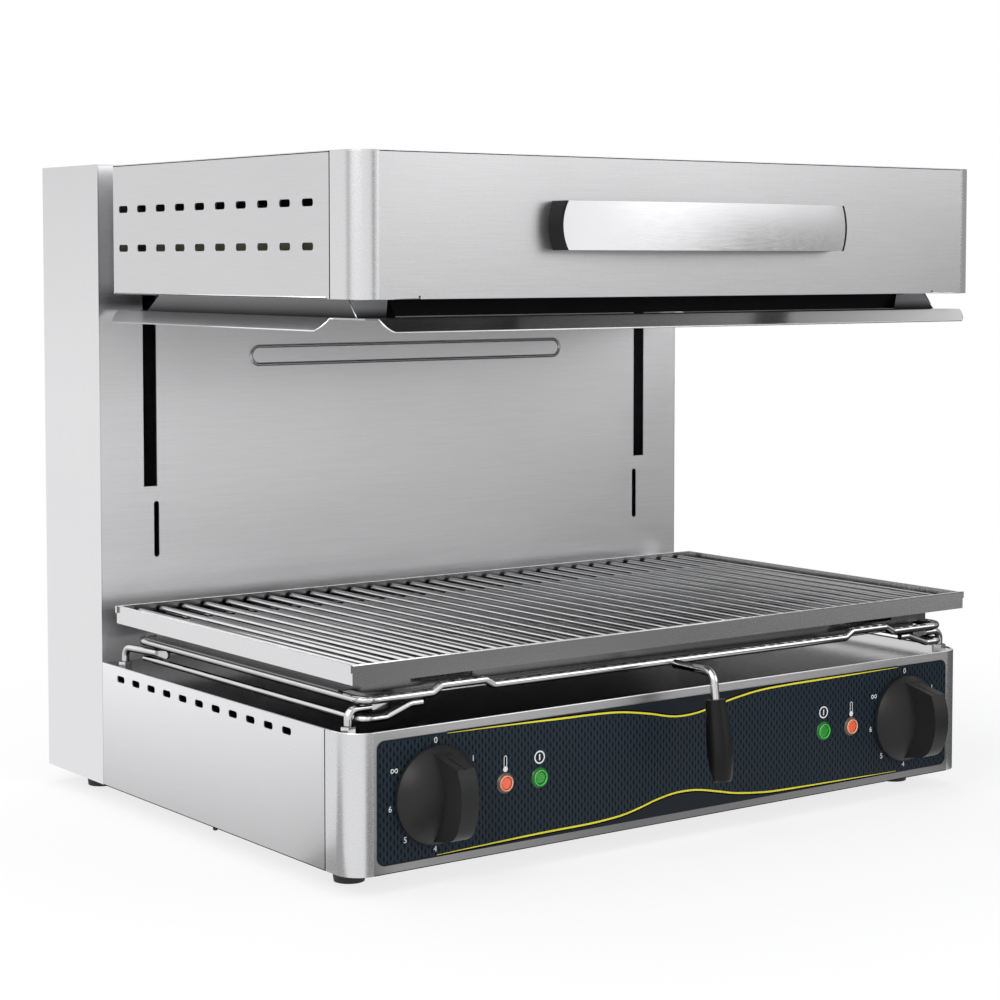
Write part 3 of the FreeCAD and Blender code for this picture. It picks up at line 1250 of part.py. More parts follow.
def heating_element(label, side):
    """Serpentine tube of six legs in one half of the hood, with both ends near the side."""
    tube = float(D.element_radius)
    inner = float(D.element_inner)
    outer = float(ELEMENT_OUTER)
    pitch = float(D.element_pitch)
    level = float(HEAD_LOW + D.element_height)
    depth = float(ELEMENT_FIRST)
    points = [V(outer, depth, level)]
    for leg in range(6):
        y = depth + leg * pitch
        if leg % 2 == 0:
            if leg > 0:
                points.append(V(outer - 16, y, level))
            points.append(V(inner, y, level))
        else:
            points.append(V(inner, y, level))
            if leg < 5:
                points.append(V(outer - 16, y, level))
    points.append(V(outer, depth + 5 * pitch, level))
    shape = bent_rod(points, pitch * 0.45, tube)
    if side < 0:
        shape = mirrored(shape)
    return shape_node(shape, label)


heating_element("heating_element_left", -1)
heating_element("heating_element_right", 1)

# Ceramic holders carry the element ends from the hood's sides
holders = []
for side in (-1, 1):
    for leg in (0, 5):
        y = ELEMENT_FIRST + D.element_pitch * leg
        level = HEAD_LOW + D.element_height
        inner_end = ELEMENT_OUTER - D.holder_grip
        wall = SKIRT_HALF - GAUGE
        x_low = inner_end if side > 0 else -wall
        x_high = wall if side > 0 else -inner_end
        holder = box(x_low, x_high, y - D.holder_half_width, y + D.holder_half_width,
                     level - D.holder_half_height, level + D.holder_half_height)
        bore_end = ELEMENT_OUTER + D.tight_play
        hole_start = -bore_end if side < 0 else inner_end - D.holder_grip
        hole = cylinder(hole_start, y, level, D.element_radius + D.tight_play,
                        bore_end - inner_end + D.holder_grip, "x")
        holders.append(cut(holder, [hole]))
node(fuse(holders), "element_holders")

# Carriages on the guide rods and the arms that carry the head
carriages = []
arms = []
for side in (-1, 1):
    rod_x = SLOT_X * side
    half = D.carriage_width / 2
    block = box(rod_x - half, rod_x + half, ROD_DEPTH - D.carriage_depth / 2,
                ROD_DEPTH + D.carriage_depth / 2, CARRIAGE_LOW,
                CARRIAGE_LOW + D.carriage_height - 0.3)
    bore = cylinder(rod_x, ROD_DEPTH, CARRIAGE_LOW - 1, D.rod_radius + D.shaft_clearance,
                    D.carriage_height + 2)
    carriages.append(cut(block, [bore]))
    web = box(rod_x - D.arm_gauge / 2, rod_x + D.arm_gauge / 2, HEAD_BACK + 5,
              ROD_DEPTH - D.carriage_depth / 2, CARRIAGE_LOW, CARRIAGE_LOW + D.carriage_height - 0.3)
    foot = box(rod_x - D.arm_foot_width / 2, rod_x + D.arm_foot_width / 2, HEAD_BACK, HEAD_BACK + 5,
               CARRIAGE_LOW, CARRIAGE_LOW + D.carriage_height - 0.3)
    arms.append(fuse([web, foot]))
node(fuse(carriages), "lift_carriages")
node(fuse(arms), "lift_arms")

# Rack: a closed loop of round wire with two raised steps in its front run
wire_level = float(DECK + D.loop_rise)
loop_x = float(LOOP_X)
loop_front = float(D.loop_front)
loop_rear = float(LOOP_REAR)
loop_bend = float(D.loop_bend)
loop_wire = float(D.loop_radius)
jog_out = float(LOOP_X - D.jog_inset)
jog_in = float(LOOP_X - D.jog_inset - D.jog_length)
jog_run = float(D.jog_run)
jog_up = wire_level + float(D.jog_rise)


def tangent_path(points, bends):
    edges = []
    start = points[0]
    for before, corner, after, bend in zip(points, points[1:], points[2:], bends):
        back = (before - corner).normalize()
        ahead = (after - corner).normalize()
        half = back.getAngle(ahead) / 2
        trim = bend / math.tan(half)
        first = corner + back * trim
        last = corner + ahead * trim
        middle = corner + (back + ahead).normalize() * (bend / math.sin(half) - bend)
        edges.append(Part.makeLine(start, first))
        edges.append(Part.Arc(first, middle, last).toShape())
        start = last
    edges.append(Part.makeLine(start, points[-1]))
    return Part.Wire(edges)


def rod_along(points, bends, radius):
    ring = Part.Wire(Part.makeCircle(radius, points[0], points[1] - points[0]))
    return tangent_path(points, bends).makePipeShell([ring], True)


half_loop_points = [
    V(0, loop_rear, wire_level), V(loop_x, loop_rear, wire_level), V(loop_x, loop_front, wire_level),
    V(jog_out, loop_front, wire_level), V(jog_out - jog_run, loop_front, jog_up),
    V(jog_in + jog_run, loop_front, jog_up), V(jog_in, loop_front, wire_level), V(0, loop_front, wire_level),
]
half_loop = rod_along(half_loop_points, [loop_bend, loop_bend, 5.0, 5.0, 5.0, 5.0], loop_wire)
loop = half_loop.fuse(mirrored(half_loop)).removeSplitter()
shape_node(loop, "rack_loop")

# Lower rails: they run under the stud arms and rise to the front wire
rail_level = float(DECK + D.rail_rise)
rail_wire = float(D.rail_radius)
rail_high = wire_level - loop_wire - rail_wire
rail_points = [
    V(loop_x, float(LOOP_REAR - D.rail_rear_gap), rail_level), V(loop_x, loop_front, rail_level),
    V(float(LOOP_X - D.rail_ramp_start), loop_front, rail_level), V(float(LOOP_X - D.rail_ramp_end), loop_front, rail_high),
    V(float(LOOP_X - D.rail_end), loop_front, rail_high),
]
rail = rod_along(rail_points, [float(D.rail_bend), 6.0, 6.0], rail_wire)
shape_node(solids_of([rail, mirrored(rail)]), "rack_lower_rails")

# Pull rod and grip in the middle of the front wire
pull_x = -float(D.pull_offset)
pull_wire = float(D.pull_radius)
pull_level = wire_level - 2.0
lean = math.radians(float(D.pull_lean))
way_down = V(0, -math.sin(lean), -math.cos(lean))
pull_bend_point = V(pull_x, -float(D.pull_reach), pull_level)
grip_top = pull_bend_point + way_down * float(D.pull_drop)
rod_end = grip_top + way_down * float(D.grip_bore_depth)
pull_points = [V(pull_x, loop_front - loop_wire + 0.4, pull_level), pull_bend_point, rod_end]
pull = bent_rod(pull_points, float(D.pull_bend), pull_wire).cut(loop)
shape_node(pull.Solids[0], "rack_pull_rod")

grip_long = float(D.grip_length)
bore = pull_wire + float(D.tight_play)
bore_end = float(D.grip_bore_depth) + float(D.tight_play)
top_r = float(D.grip_top_radius)
belly_r = float(D.grip_belly_radius)
end_r = float(D.grip_end_radius)
round_over = 1.0


def on_grip(radius, along):
    """Point of the grip's outline at a radius and a distance along its leaning axis."""
    return grip_top + way_down * along + V(radius, 0, 0)


outline = Part.BSplineCurve()
outline.interpolate([
    on_grip(top_r, 0.0),
    on_grip((top_r + belly_r) / 2, grip_long * 0.28),
    on_grip(belly_r, grip_long * 0.6),
    on_grip(end_r, grip_long - round_over),
])
grip_edges = [
    Part.makeLine(on_grip(bore, 0.0), on_grip(top_r, 0.0)),
    outline.toShape(),
    Part.makeLine(on_grip(end_r, grip_long - round_over), on_grip(end_r - round_over, grip_long)),
    Part.makeLine(on_grip(end_r - round_over, grip_long), on_grip(0.0, grip_long)),
    Part.makeLine(on_grip(0.0, grip_long), on_grip(0.0, bore_end)),
    Part.makeLine(on_grip(0.0, bore_end), on_grip(bore, bore_end)),
    Part.makeLine(on_grip(bore, bore_end), on_grip(bore, 0.0)),
]
grip = Part.Face(Part.Wire(grip_edges)).revolve(grip_top, way_down, 360)
shape_node(grip, "rack_grip")

# Drip tray: pan, step, rim with two notches, and side wings that rest on the rack
WING = DECK + D.loop_rise + D.loop_radius + D.rest_gap
PAN = WING - D.tray_pan_depth
RIM = WING + D.tray_rim_height
TW = LOOP_X - D.tray_side_gap
TG = D.tray_gauge
TRAY_REAR = LOOP_REAR - D.tray_rear_gap
rim_solid = box(-TW, TW, D.tray_front, TRAY_REAR, WING, RIM)
wings = box(-TW - D.tray_wing, TW + D.tray_wing, D.tray_front + 14, TRAY_REAR, WING, WING + TG)
pan_solid = box(-TW + D.tray_step, TW - D.tray_step, D.tray_front + D.tray_step, TRAY_REAR - D.tray_step,
                PAN, WING + TG)
rim_hollow = box(-TW + TG, TW - TG, D.tray_front + TG, TRAY_REAR - TG, WING + TG, RIM + 1)
pan_hollow = box(-TW + D.tray_step + TG, TW - D.tray_step - TG, D.tray_front + D.tray_step + TG,
                 TRAY_REAR - D.tray_step - TG, PAN + TG, RIM + 1)
tray_cuts = [rim_hollow, pan_hollow]
for side in (-1, 1):
    x_low = TW - D.tray_notch_inner if side > 0 else -TW + D.tray_notch_outer
    x_high = TW - D.tray_notch_outer if side > 0 else -TW + D.tray_notch_inner
    tray_cuts.append(box(x_low, x_high, D.tray_front - 1, D.tray_front + TG + 1,
                         RIM - D.tray_notch_depth, RIM + 1))
node(cut(fuse([rim_solid, wings, pan_solid]), tray_cuts), "drip_tray")

# Grid: flat bar frame with corner tabs, round bars front to back and cross wires below
GRID_LOW = RIM + 0.3 - (D.grid_height - D.bar_drop - D.bar_radius * 2 - D.cross_radius * 2)
GRID_HIGH = GRID_LOW + D.grid_height
GX = HALF - D.grid_inset
GF = -D.grid_front
GR = COLUMN_FRONT - D.grid_rear_gap
GG = D.grid_gauge
frame_outer = box(-GX, GX, GF, GR, GRID_LOW, GRID_HIGH)
frame_inner = box(-GX + GG, GX - GG, GF + GG, GR - GG, GRID_LOW - 1, GRID_HIGH + 1)
tabs = []
for y0, y1 in ((GF, GF + GG), (GR - GG, GR)):
    tabs.append(box(-GX - D.grid_tab_reach, GX + D.grid_tab_reach, y0, y1,
                    GRID_HIGH - D.grid_tab_height, GRID_HIGH))
node(fuse([cut(frame_outer, [frame_inner])] + tabs), "grid_frame")

bar_level = GRID_HIGH - D.bar_drop - D.bar_radius
bars = []
count = int(float(D.bar_count))
bar_pitch = (GX - GG - D.bar_end_gap) * 2 / (D.bar_count - 1)
for index in range(count):
    x = bar_pitch * (index - (count - 1) / 2)
    bars.append(cylinder(x, GF + GG, bar_level, D.bar_radius, GR - GF - 2 * GG - D.bar_rear_gap, "y"))
node(fuse(bars), "grid_bars")

cross_level = bar_level - D.bar_radius - D.cross_radius
grid_middle = (GR + GF) / 2
crosses = []
for side in (-1, 1):
    for offset in (D.cross_inner, D.cross_mid, D.cross_outer):
        crosses.append(cylinder(-GX + GG, grid_middle + offset * side, cross_level, D.cross_radius,
                                2 * GX - 2 * GG, "x"))
node(fuse(crosses), "grid_cross_wires")

doc.recompute()

# Every object has to be sound before anything is written
for item in doc.Objects:
    if "Invalid" in item.State or "Error" in item.State:
        raise RuntimeError("object %s is in state %s" % (item.Name, item.State))
os.makedirs("parts", exist_ok=True)
for item in nodes:
    shape = item.Shape
    if shape.isNull() or not shape.isValid() or not shape.Solids:
        raise RuntimeError("sub-part %s has no sound shape" % item.Label)
total = 0
for item in nodes:
    item.Shape.exportStep("parts/%s.step" % item.Label)
    bounds = item.Shape.BoundBox
    total += len(item.Shape.Solids)
    print("%-24s solids %2d volume %10.1f  x %7.1f %7.1f  y %7.1f %7.1f  z %6.1f %6.1f" % (
        item.Label, len(item.Shape.Solids), item.Shape.Volume, bounds.XMin, bounds.XMax,
        bounds.YMin, bounds.YMax, bounds.ZMin, bounds.ZMax))
print("sub-parts", len(nodes), "solids", total)
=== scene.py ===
import math

import bmesh
import bpy
from mathutils import Matrix, Vector


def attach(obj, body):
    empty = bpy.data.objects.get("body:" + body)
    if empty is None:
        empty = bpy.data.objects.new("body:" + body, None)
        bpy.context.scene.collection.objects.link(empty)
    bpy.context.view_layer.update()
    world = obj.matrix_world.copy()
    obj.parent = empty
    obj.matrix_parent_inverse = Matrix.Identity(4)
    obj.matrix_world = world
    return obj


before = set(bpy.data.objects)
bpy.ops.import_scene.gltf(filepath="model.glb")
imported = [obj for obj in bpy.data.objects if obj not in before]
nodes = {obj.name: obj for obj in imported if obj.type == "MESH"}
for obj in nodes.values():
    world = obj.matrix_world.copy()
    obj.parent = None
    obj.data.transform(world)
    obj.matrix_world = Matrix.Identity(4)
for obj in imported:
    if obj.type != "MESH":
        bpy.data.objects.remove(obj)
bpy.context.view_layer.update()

# Distance from the base's front face to the middle of the footprint, in metres
MIDDLE = 0.2103


def row(x, depth, height):
    """A point from millimetres across, behind the base's front face and above the table."""
    return Vector((x / 1000, depth / 1000 - MIDDLE, height / 1000))


# Materials

def new_material(name):
    material = bpy.data.materials.new(name)
    material.use_nodes = True
    tree = material.node_tree
    shader = tree.nodes["Principled BSDF"]
    return material, tree, shader


def mapped(tree, scale):
    """Place on the piece in metres, times one scale or one along each axis."""
    if isinstance(scale, (int, float)):
        scale = (scale, scale, scale)
    place = tree.nodes.new("ShaderNodeTexCoord")
    mapping = tree.nodes.new("ShaderNodeMapping")
    mapping.inputs["Scale"].default_value = scale
    tree.links.new(place.outputs["Object"], mapping.inputs["Vector"])
    return mapping.outputs["Vector"]


def noise(tree, vector, scale=1.0, detail=2.0, rough=0.5):
    node = tree.nodes.new("ShaderNodeTexNoise")
    node.inputs["Scale"].default_value = scale
    node.inputs["Detail"].default_value = detail
    node.inputs["Roughness"].default_value = rough
    tree.links.new(vector, node.inputs["Vector"])
    return node.outputs["Fac"]


def spread(tree, value, low, high, from_low=0.3, from_high=0.7):
    node = tree.nodes.new("ShaderNodeMapRange")
    node.inputs["From Min"].default_value = from_low
    node.inputs["From Max"].default_value = from_high
    node.inputs["To Min"].default_value = low
    node.inputs["To Max"].default_value = high
    tree.links.new(value, node.inputs["Value"])
    return node.outputs["Result"]


def math_node(tree, operation, a, b=None, c=None):
    node = tree.nodes.new("ShaderNodeMath")
    node.operation = operation
    for index, value in enumerate((a, b, c)):
        if value is None:
            continue
        if isinstance(value, (int, float)):
            node.inputs[index].default_value = value
        else:
            tree.links.new(value, node.inputs[index])
    return node.outputs["Value"]


def two_tone(tree, factor, dark, light):
    node = tree.nodes.new("ShaderNodeMix")
    node.data_type = "RGBA"
    node.inputs["A"].default_value = (*dark, 1)
    node.inputs["B"].default_value = (*light, 1)
    tree.links.new(factor, node.inputs["Factor"])
    return node.outputs["Result"]


def stepped(tree, value, points):
    """Straight-line curve of a value through the given pairs of place and level."""
    total = points[0][1]
    for (place, level), (next_place, next_level) in zip(points, points[1:]):
        total = math_node(tree, "ADD", spread(tree, value, 0.0, next_level - level, place, next_place), total)
    return total


def place_along(tree, axis):
    """Place in the row frame along one axis, in millimetres; Y counts from the base's front face."""
    place = tree.nodes.new("ShaderNodeTexCoord")
    split = tree.nodes.new("ShaderNodeSeparateXYZ")
    tree.links.new(place.outputs["Object"], split.inputs["Vector"])
    shift = MIDDLE * 1000 if axis == "Y" else 0.0
    return math_node(tree, "MULTIPLY_ADD", split.outputs[axis], 1000.0, shift)


def facing(tree, axis, signed=False):
    """How far a face points along one axis."""
    place = tree.nodes.new("ShaderNodeTexCoord")
    split = tree.nodes.new("ShaderNodeSeparateXYZ")
    tree.links.new(place.outputs["Normal"], split.inputs["Vector"])
    return split.outputs[axis] if signed else math_node(tree, "ABSOLUTE", split.outputs[axis])


def dimmed(tree, colour, level):
    node = tree.nodes.new("ShaderNodeVectorMath")
    node.operation = "SCALE"
    tree.links.new(colour, node.inputs["Vector"])
    tree.links.new(level, node.inputs["Scale"])
    return node.outputs["Vector"]


def bumped(tree, shader, height, strength, distance=0.0002):
    node = tree.nodes.new("ShaderNodeBump")
    node.inputs["Strength"].default_value = strength
    node.inputs["Distance"].default_value = distance
    tree.links.new(height, node.inputs["Height"])
    tree.links.new(node.outputs["Normal"], shader.inputs["Normal"])


# Stainless steel is a trace bluer than grey
STEEL_TINT = (1.0, 1.0, 1.015)


def brushed(name, tone, rough, grain, speck=0.06, cloud=0.04, bump=0.05, metal=1.0, level=None):
    """Stainless sheet: fine drawn grain along one axis, fine speckle and soft wide clouds.

    level is a function that gives the share of the tone from place on the sheet: painted light and shade."""
    material, tree, shader = new_material(name)
    stretch = {"x": (26, 1500, 1500), "y": (1500, 26, 1500), "z": (1500, 1500, 26)}[grain]
    lines = noise(tree, mapped(tree, stretch), 1.0, 3.0, 0.6)
    specks = noise(tree, mapped(tree, 900), 1.0, 2.0, 0.6)
    clouds = noise(tree, mapped(tree, 5), 1.0, 3.0, 0.5)
    mixed = math_node(tree, "MULTIPLY_ADD", lines, 0.6, math_node(tree, "MULTIPLY", specks, 0.4))
    factor = spread(tree, mixed, 0.0, 1.0)
    low = [max(0.0, c * (tone - speck)) for c in STEEL_TINT]
    high = [min(1.0, c * (tone + speck)) for c in STEEL_TINT]
    colour = two_tone(tree, factor, low, high)
    if level:
        colour = dimmed(tree, colour, level(tree))
    tree.links.new(colour, shader.inputs["Base Color"])
    grain_rough = spread(tree, mixed, rough - 0.05, rough + 0.05)
    total = math_node(tree, "ADD", grain_rough, spread(tree, clouds, -cloud, cloud))
    tree.links.new(total, shader.inputs["Roughness"])
    shader.inputs["Metallic"].default_value = metal
    bumped(tree, shader, mixed, bump)
    return material


def bright_wire(name, tone, rough, edge=1.0, bands=None, level=None):
    """Plated round wire: bright, with faint drawing marks and small dull patches; bands and level add painted
    light and shade.
    """
    material, tree, shader = new_material(name)
    marks = noise(tree, mapped(tree, 500), 1.0, 3.0, 0.6)
    patches = noise(tree, mapped(tree, 35), 1.0, 3.0, 0.6)
    colour = two_tone(tree, spread(tree, patches, 0, 1), [tone * 0.9] * 3, [tone, tone, tone * 1.01])
    if bands:
        colour = dimmed(tree, colour, stepped(tree, facing(tree, "Z", signed=True), bands))
    if level:
        colour = dimmed(tree, colour, level(tree))
    tree.links.new(colour, shader.inputs["Base Color"])
    tree.links.new(math_node(tree, "ADD", spread(tree, marks, rough - 0.03, rough + 0.03),
                             spread(tree, patches, -0.02, 0.05)), shader.inputs["Roughness"])
    shader.inputs["Metallic"].default_value = 1.0
    shader.inputs["Specular Tint"].default_value = (edge, edge, edge, 1)
    bumped(tree, shader, marks, 0.02)
    return material


def moulded(name, colour, rough, grain=1800, bump=0.18, lift=1.35, shine=0.5):
    """Moulded plastic or rubber: fine pitted grain, slight variation in sheen."""
    material, tree, shader = new_material(name)
    pits = noise(tree, mapped(tree, grain), 1.0, 2.0, 0.55)
    wide = noise(tree, mapped(tree, 30), 1.0, 3.0, 0.5)
    light = [min(1.0, c * lift) for c in colour]
    tree.links.new(two_tone(tree, spread(tree, wide, 0, 1), colour, light), shader.inputs["Base Color"])
    tree.links.new(math_node(tree, "ADD", spread(tree, pits, rough - 0.04, rough + 0.06),
                             spread(tree, wide, -0.03, 0.03)), shader.inputs["Roughness"])
    shader.inputs["Specular IOR Level"].default_value = shine
    bumped(tree, shader, pits, bump, 0.00008)
    return material


def printed_film(name):
    """Dark navy film with a woven-looking lattice of fine upright waves."""
    material, tree, shader = new_material(name)
    place = tree.nodes.new("ShaderNodeTexCoord")
    split = tree.nodes.new("ShaderNodeSeparateXYZ")
    tree.links.new(place.outputs["Object"], split.inputs["Vector"])
    across, up = split.outputs["X"], split.outputs["Z"]
    # Light lines that sway against their neighbours, so that they close in and open out in turn
    pitch, wave_length, sway_share = 0.00287, 0.0068, 0.16
    u = math_node(tree, "DIVIDE", across, pitch)
    wave = math_node(tree, "SINE", math_node(tree, "MULTIPLY", up, 2 * math.pi / wave_length))
    sway = math_node(tree, "MULTIPLY", wave, sway_share)
    even_place = math_node(tree, "SUBTRACT", u, sway)
    even = math_node(tree, "ABSOLUTE", math_node(tree, "WRAP", even_place, 1.0, -1.0))
    odd_place = math_node(tree, "ADD", math_node(tree, "ADD", u, 1.0), sway)
    odd = math_node(tree, "ABSOLUTE", math_node(tree, "WRAP", odd_place, 1.0, -1.0))
    factor = spread(tree, math_node(tree, "MINIMUM", even, odd), 1.0, 0.0, 0.17, 0.55)
    colour = two_tone(tree, factor, (0.0015, 0.0036, 0.0075), (0.020, 0.031, 0.043))
    tree.links.new(colour, shader.inputs["Base Color"])
    fine = noise(tree, mapped(tree, 2500), 1.0, 2.0, 0.5)
    tree.links.new(spread(tree, fine, 0.36, 0.46), shader.inputs["Roughness"])
    shader.inputs["Specular IOR Level"].default_value = 0.08
    bumped(tree, shader, math_node(tree, "ADD", factor, math_node(tree, "MULTIPLY", fine, 0.2)), 0.12, 0.0001)
    return material


def glowing_lens(name, colour, deep):
    """Tinted lamp lens: lighter in the middle, faint ribs, wet gloss."""
    material, tree, shader = new_material(name)
    grain = noise(tree, mapped(tree, 700), 1.0, 2.0, 0.5)
    tree.links.new(two_tone(tree, spread(tree, grain, 0, 1), deep, colour), shader.inputs["Base Color"])
    tree.links.new(spread(tree, grain, 0.18, 0.3), shader.inputs["Roughness"])
    shader.inputs["Emission Color"].default_value = (*colour, 1)
    shader.inputs["Emission Strength"].default_value = 0.18
    shader.inputs["Coat Weight"].default_value = 0.5
    bumped(tree, shader, grain, 0.08, 0.0001)
    return material


# Painted light and shade: how light the steel is from place to place, as a share of its tone

# Painted shade: darker towards the top
def column_painted_shade(tree):
    return stepped(tree, place_along(tree, "Z"), [(320, 1.0), (510, 0.86)])


# Painted shade: darker towards the bottom and towards the front
def base_side_painted_shade(tree):
    rise = stepped(tree, place_along(tree, "Z"), [(14, 0.66), (110, 1.0)])
    return math_node(tree, "MULTIPLY", rise, stepped(tree, place_along(tree, "Y"), [(40, 0.87), (340, 1.0)]))


def panel_painted_shade(tree):
    """Painted light and shade: below the overlay the panel is much darker than above it, and it gets lighter
    to the right above it.
    """
    upper = stepped(tree, place_along(tree, "X"), [(-275, 0.62), (-60, 0.55), (200, 1.0)])
    low = stepped(tree, place_along(tree, "X"), [(-281, 0.42), (-60, 0.24), (281, 0.32)])
    rise = stepped(tree, place_along(tree, "Z"), [(25, 0.0), (105, 1.0)])
    gain = math_node(tree, "MULTIPLY", math_node(tree, "SUBTRACT", upper, low), rise)
    return math_node(tree, "ADD", low, gain)


# Painted shade of the head's overhang: darker towards the bottom
def skirt_painted_shade(tree):
    return stepped(tree, place_along(tree, "Z"), [(394.5, 0.05), (406.9, 1.0)])


# Painted shade between the flange and the head: darker towards the bottom
def skirt_front_painted_shade(tree):
    return stepped(tree, place_along(tree, "Z"), [(394.5, 0.02), (397.0, 0.2), (401.0, 0.75), (406.9, 1.0)])


# Painted shade: darker at the left end
def handle_painted_shade(tree):
    return stepped(tree, place_along(tree, "X"), [(-150, 0.79), (-40, 1.0)])


def bar_painted_shade(tree):
    """Painted shade: the grid's bars get darker to the right."""
    return stepped(tree, place_along(tree, "X"), [(-280, 1.25), (-60, 0.9), (280, 0.8)])


def frame_shade_level(tree):
    return stepped(tree, place_along(tree, "X"), [(-280, 0.14), (280, 0.36)])


def flange_painted_shade(tree):
    """Painted light and shade by which way each face points: the front lip gets lighter to the right; the
    rest is even.
    """
    front = stepped(tree, place_along(tree, "X"), [(-260, 0.1), (-60, 0.33), (60, 0.46), (280, 1.0)])
    share = facing(tree, "Y")
    even = math_node(tree, "MULTIPLY", math_node(tree, "SUBTRACT", 1.0, share), 0.5)
    return math_node(tree, "MULTIPLY_ADD", share, front, even)


def grid_frame_painted_shade(tree):
    """Painted light and shade by which way each face points: bright upper edge and sides; the front is
    darker, most at its left end.
    """
    front = stepped(tree, place_along(tree, "X"), [(-280, 0.24), (0, 0.36), (280, 0.75)])
    total = math_node(tree, "MULTIPLY", facing(tree, "X"), 0.83)
    total = math_node(tree, "MULTIPLY_ADD", facing(tree, "Y"), front, total)
    return math_node(tree, "MULTIPLY_ADD", facing(tree, "Z"), 1.0, total)


# These sheets are all one stainless steel: their tones, which differ from piece to piece, are painted light
# and shade
steel_column = brushed("steel_column", 0.76, 0.34, "z", speck=0.03, level=column_painted_shade)
steel_side = brushed("steel_side", 0.63, 0.34, "y", speck=0.035)
steel_base_side = brushed("steel_base_side", 0.85, 0.34, "y", speck=0.035, level=base_side_painted_shade)
steel_front = brushed("steel_front", 0.57, 0.34, "x", speck=0.05)
steel_panel = brushed("steel_panel", 0.74, 0.34, "x", speck=0.07, level=panel_painted_shade)
steel_back = brushed("steel_back", 0.85, 0.36, "x", speck=0.05)
steel_rear = brushed("steel_rear", 0.6, 0.36, "x", speck=0.05)
steel_post = brushed("steel_post", 0.68, 0.27, "x", speck=0.015, cloud=0.02, bump=0.025)
# Painted shade: the skirt under the head's overhang is much darker, and its front corners use a matte copy
steel_skirt = brushed("steel_skirt", 0.22, 0.36, "x", speck=0.02, level=skirt_painted_shade)
steel_skirt_front = brushed("steel_skirt_front", 0.94, 0.4, "x", speck=0.03, metal=0.0,
                            level=skirt_front_painted_shade)
frame_shade = brushed("frame_shade", 0.85, 0.3, "x", speck=0.03, bump=0.02, level=frame_shade_level)
# A lighter copy of the steel for the edge beads: painted highlight
painted_edge_highlight = brushed("painted_edge_highlight", 0.93, 0.24, "x", speck=0.03, bump=0.02)
bead_steel = brushed("bead_steel", 0.42, 0.2, "x", speck=0.03, bump=0.02)
steel_top = brushed("steel_top", 0.68, 0.34, "x")
steel_plain = brushed("steel_plain", 0.36, 0.4, "x", speck=0.04)
steel_deck = brushed("steel_deck", 0.36, 0.16, "x", speck=0.02, cloud=0.02, bump=0.02)
steel_tray = brushed("steel_tray", 0.2, 0.22, "x", speck=0.03, cloud=0.03, bump=0.02)
steel_flange = brushed("steel_flange", 0.93, 0.2, "x", speck=0.03, level=flange_painted_shade)
steel_handle = brushed("steel_handle", 0.96, 0.13, "x", speck=0.02, cloud=0.01, bump=0.01, level=handle_painted_shade)
steel_frame = brushed("steel_frame", 0.85, 0.24, "x", speck=0.03, bump=0.02, level=grid_frame_painted_shade)
steel_small = bright_wire("steel_small", 0.66, 0.15, edge=0.3)
zinc = brushed("zinc", 0.5, 0.4, "z")
# Round wire: painted shade below and painted highlight above, as if mirroring a dark tray
WIRE_PAINTED_SHADE = [(-1.0, 0.04), (-0.8, 0.12), (-0.4, 0.3), (0.0, 0.7), (0.3, 1.0)]
wire = bright_wire("wire", 0.85, 0.08, edge=0.12, bands=WIRE_PAINTED_SHADE)
# Grid bars: painted shade and highlight by which way the face points, with a second lighter band as a painted
# reflection of the next bar
bar_metal = bright_wire("bar_metal", 0.78, 0.1, edge=0.25,
                        bands=[(-0.95, 0.04), (-0.75, 0.45), (-0.3, 0.6), (-0.12, 0.12), (0.05, 0.25),
                               (0.2, 1.0)],
                        level=bar_painted_shade)
spring_metal = bright_wire("spring_metal", 0.35, 0.35)
element_metal = brushed("element_metal", 0.12, 0.5, "x", speck=0.03)
foil = brushed("foil", 0.6, 0.3, "x", speck=0.05, bump=0.1)
knob_plastic = moulded("knob_plastic", [0.014, 0.014, 0.0145], 0.42, lift=1.2, shine=0.26)
black_plastic = moulded("black_plastic", [0.003, 0.003, 0.0032], 0.36, lift=1.3, shine=0.25)
black_strip = moulded("black_strip", [0.005, 0.005, 0.005], 0.5, grain=900, bump=0.08, shine=0.1)
black_rubber = moulded("black_rubber", [0.012, 0.012, 0.012], 0.6, grain=1100, bump=0.3)
film = printed_film("film")
film_plain = moulded("film_plain", [0.0055, 0.009, 0.0135], 0.4, grain=2500, bump=0.05, shine=0.16)
yellow_ink = moulded("yellow_ink", [0.80, 0.70, 0.02], 0.4, grain=2500, bump=0.05, lift=1.1)
white_ink = moulded("white_ink", [0.8, 0.8, 0.8], 0.4, grain=2500, bump=0.05, lift=1.1)
dark_line = moulded("dark_line", [0.0015, 0.0015, 0.0015], 0.7, grain=2500, bump=0.05, shine=0.02)
bezel_orange = moulded("bezel_orange", [0.11, 0.075, 0.05], 0.35, grain=1500, bump=0.08)
bezel_green = moulded("bezel_green", [0.012, 0.10, 0.02], 0.35, grain=1500, bump=0.08)
lens_orange = glowing_lens("lens_orange", (0.85, 0.13, 0.05), (0.66, 0.08, 0.03))
lens_green = glowing_lens("lens_green", (0.008, 0.26, 0.012), (0.005, 0.18, 0.01))
halo_orange = moulded("halo_orange", [0.86, 0.45, 0.30], 0.35, grain=1500, bump=0.05, lift=1.1)
halo_green = moulded("halo_green", [0.05, 0.62, 0.07], 0.35, grain=1500, bump=0.05, lift=1.1)
ceramic = moulded("ceramic", [0.72, 0.70, 0.64], 0.55, grain=900, bump=0.2, lift=1.1)
wool = moulded("wool", [0.6, 0.56, 0.42], 0.9, grain=300, bump=0.6)

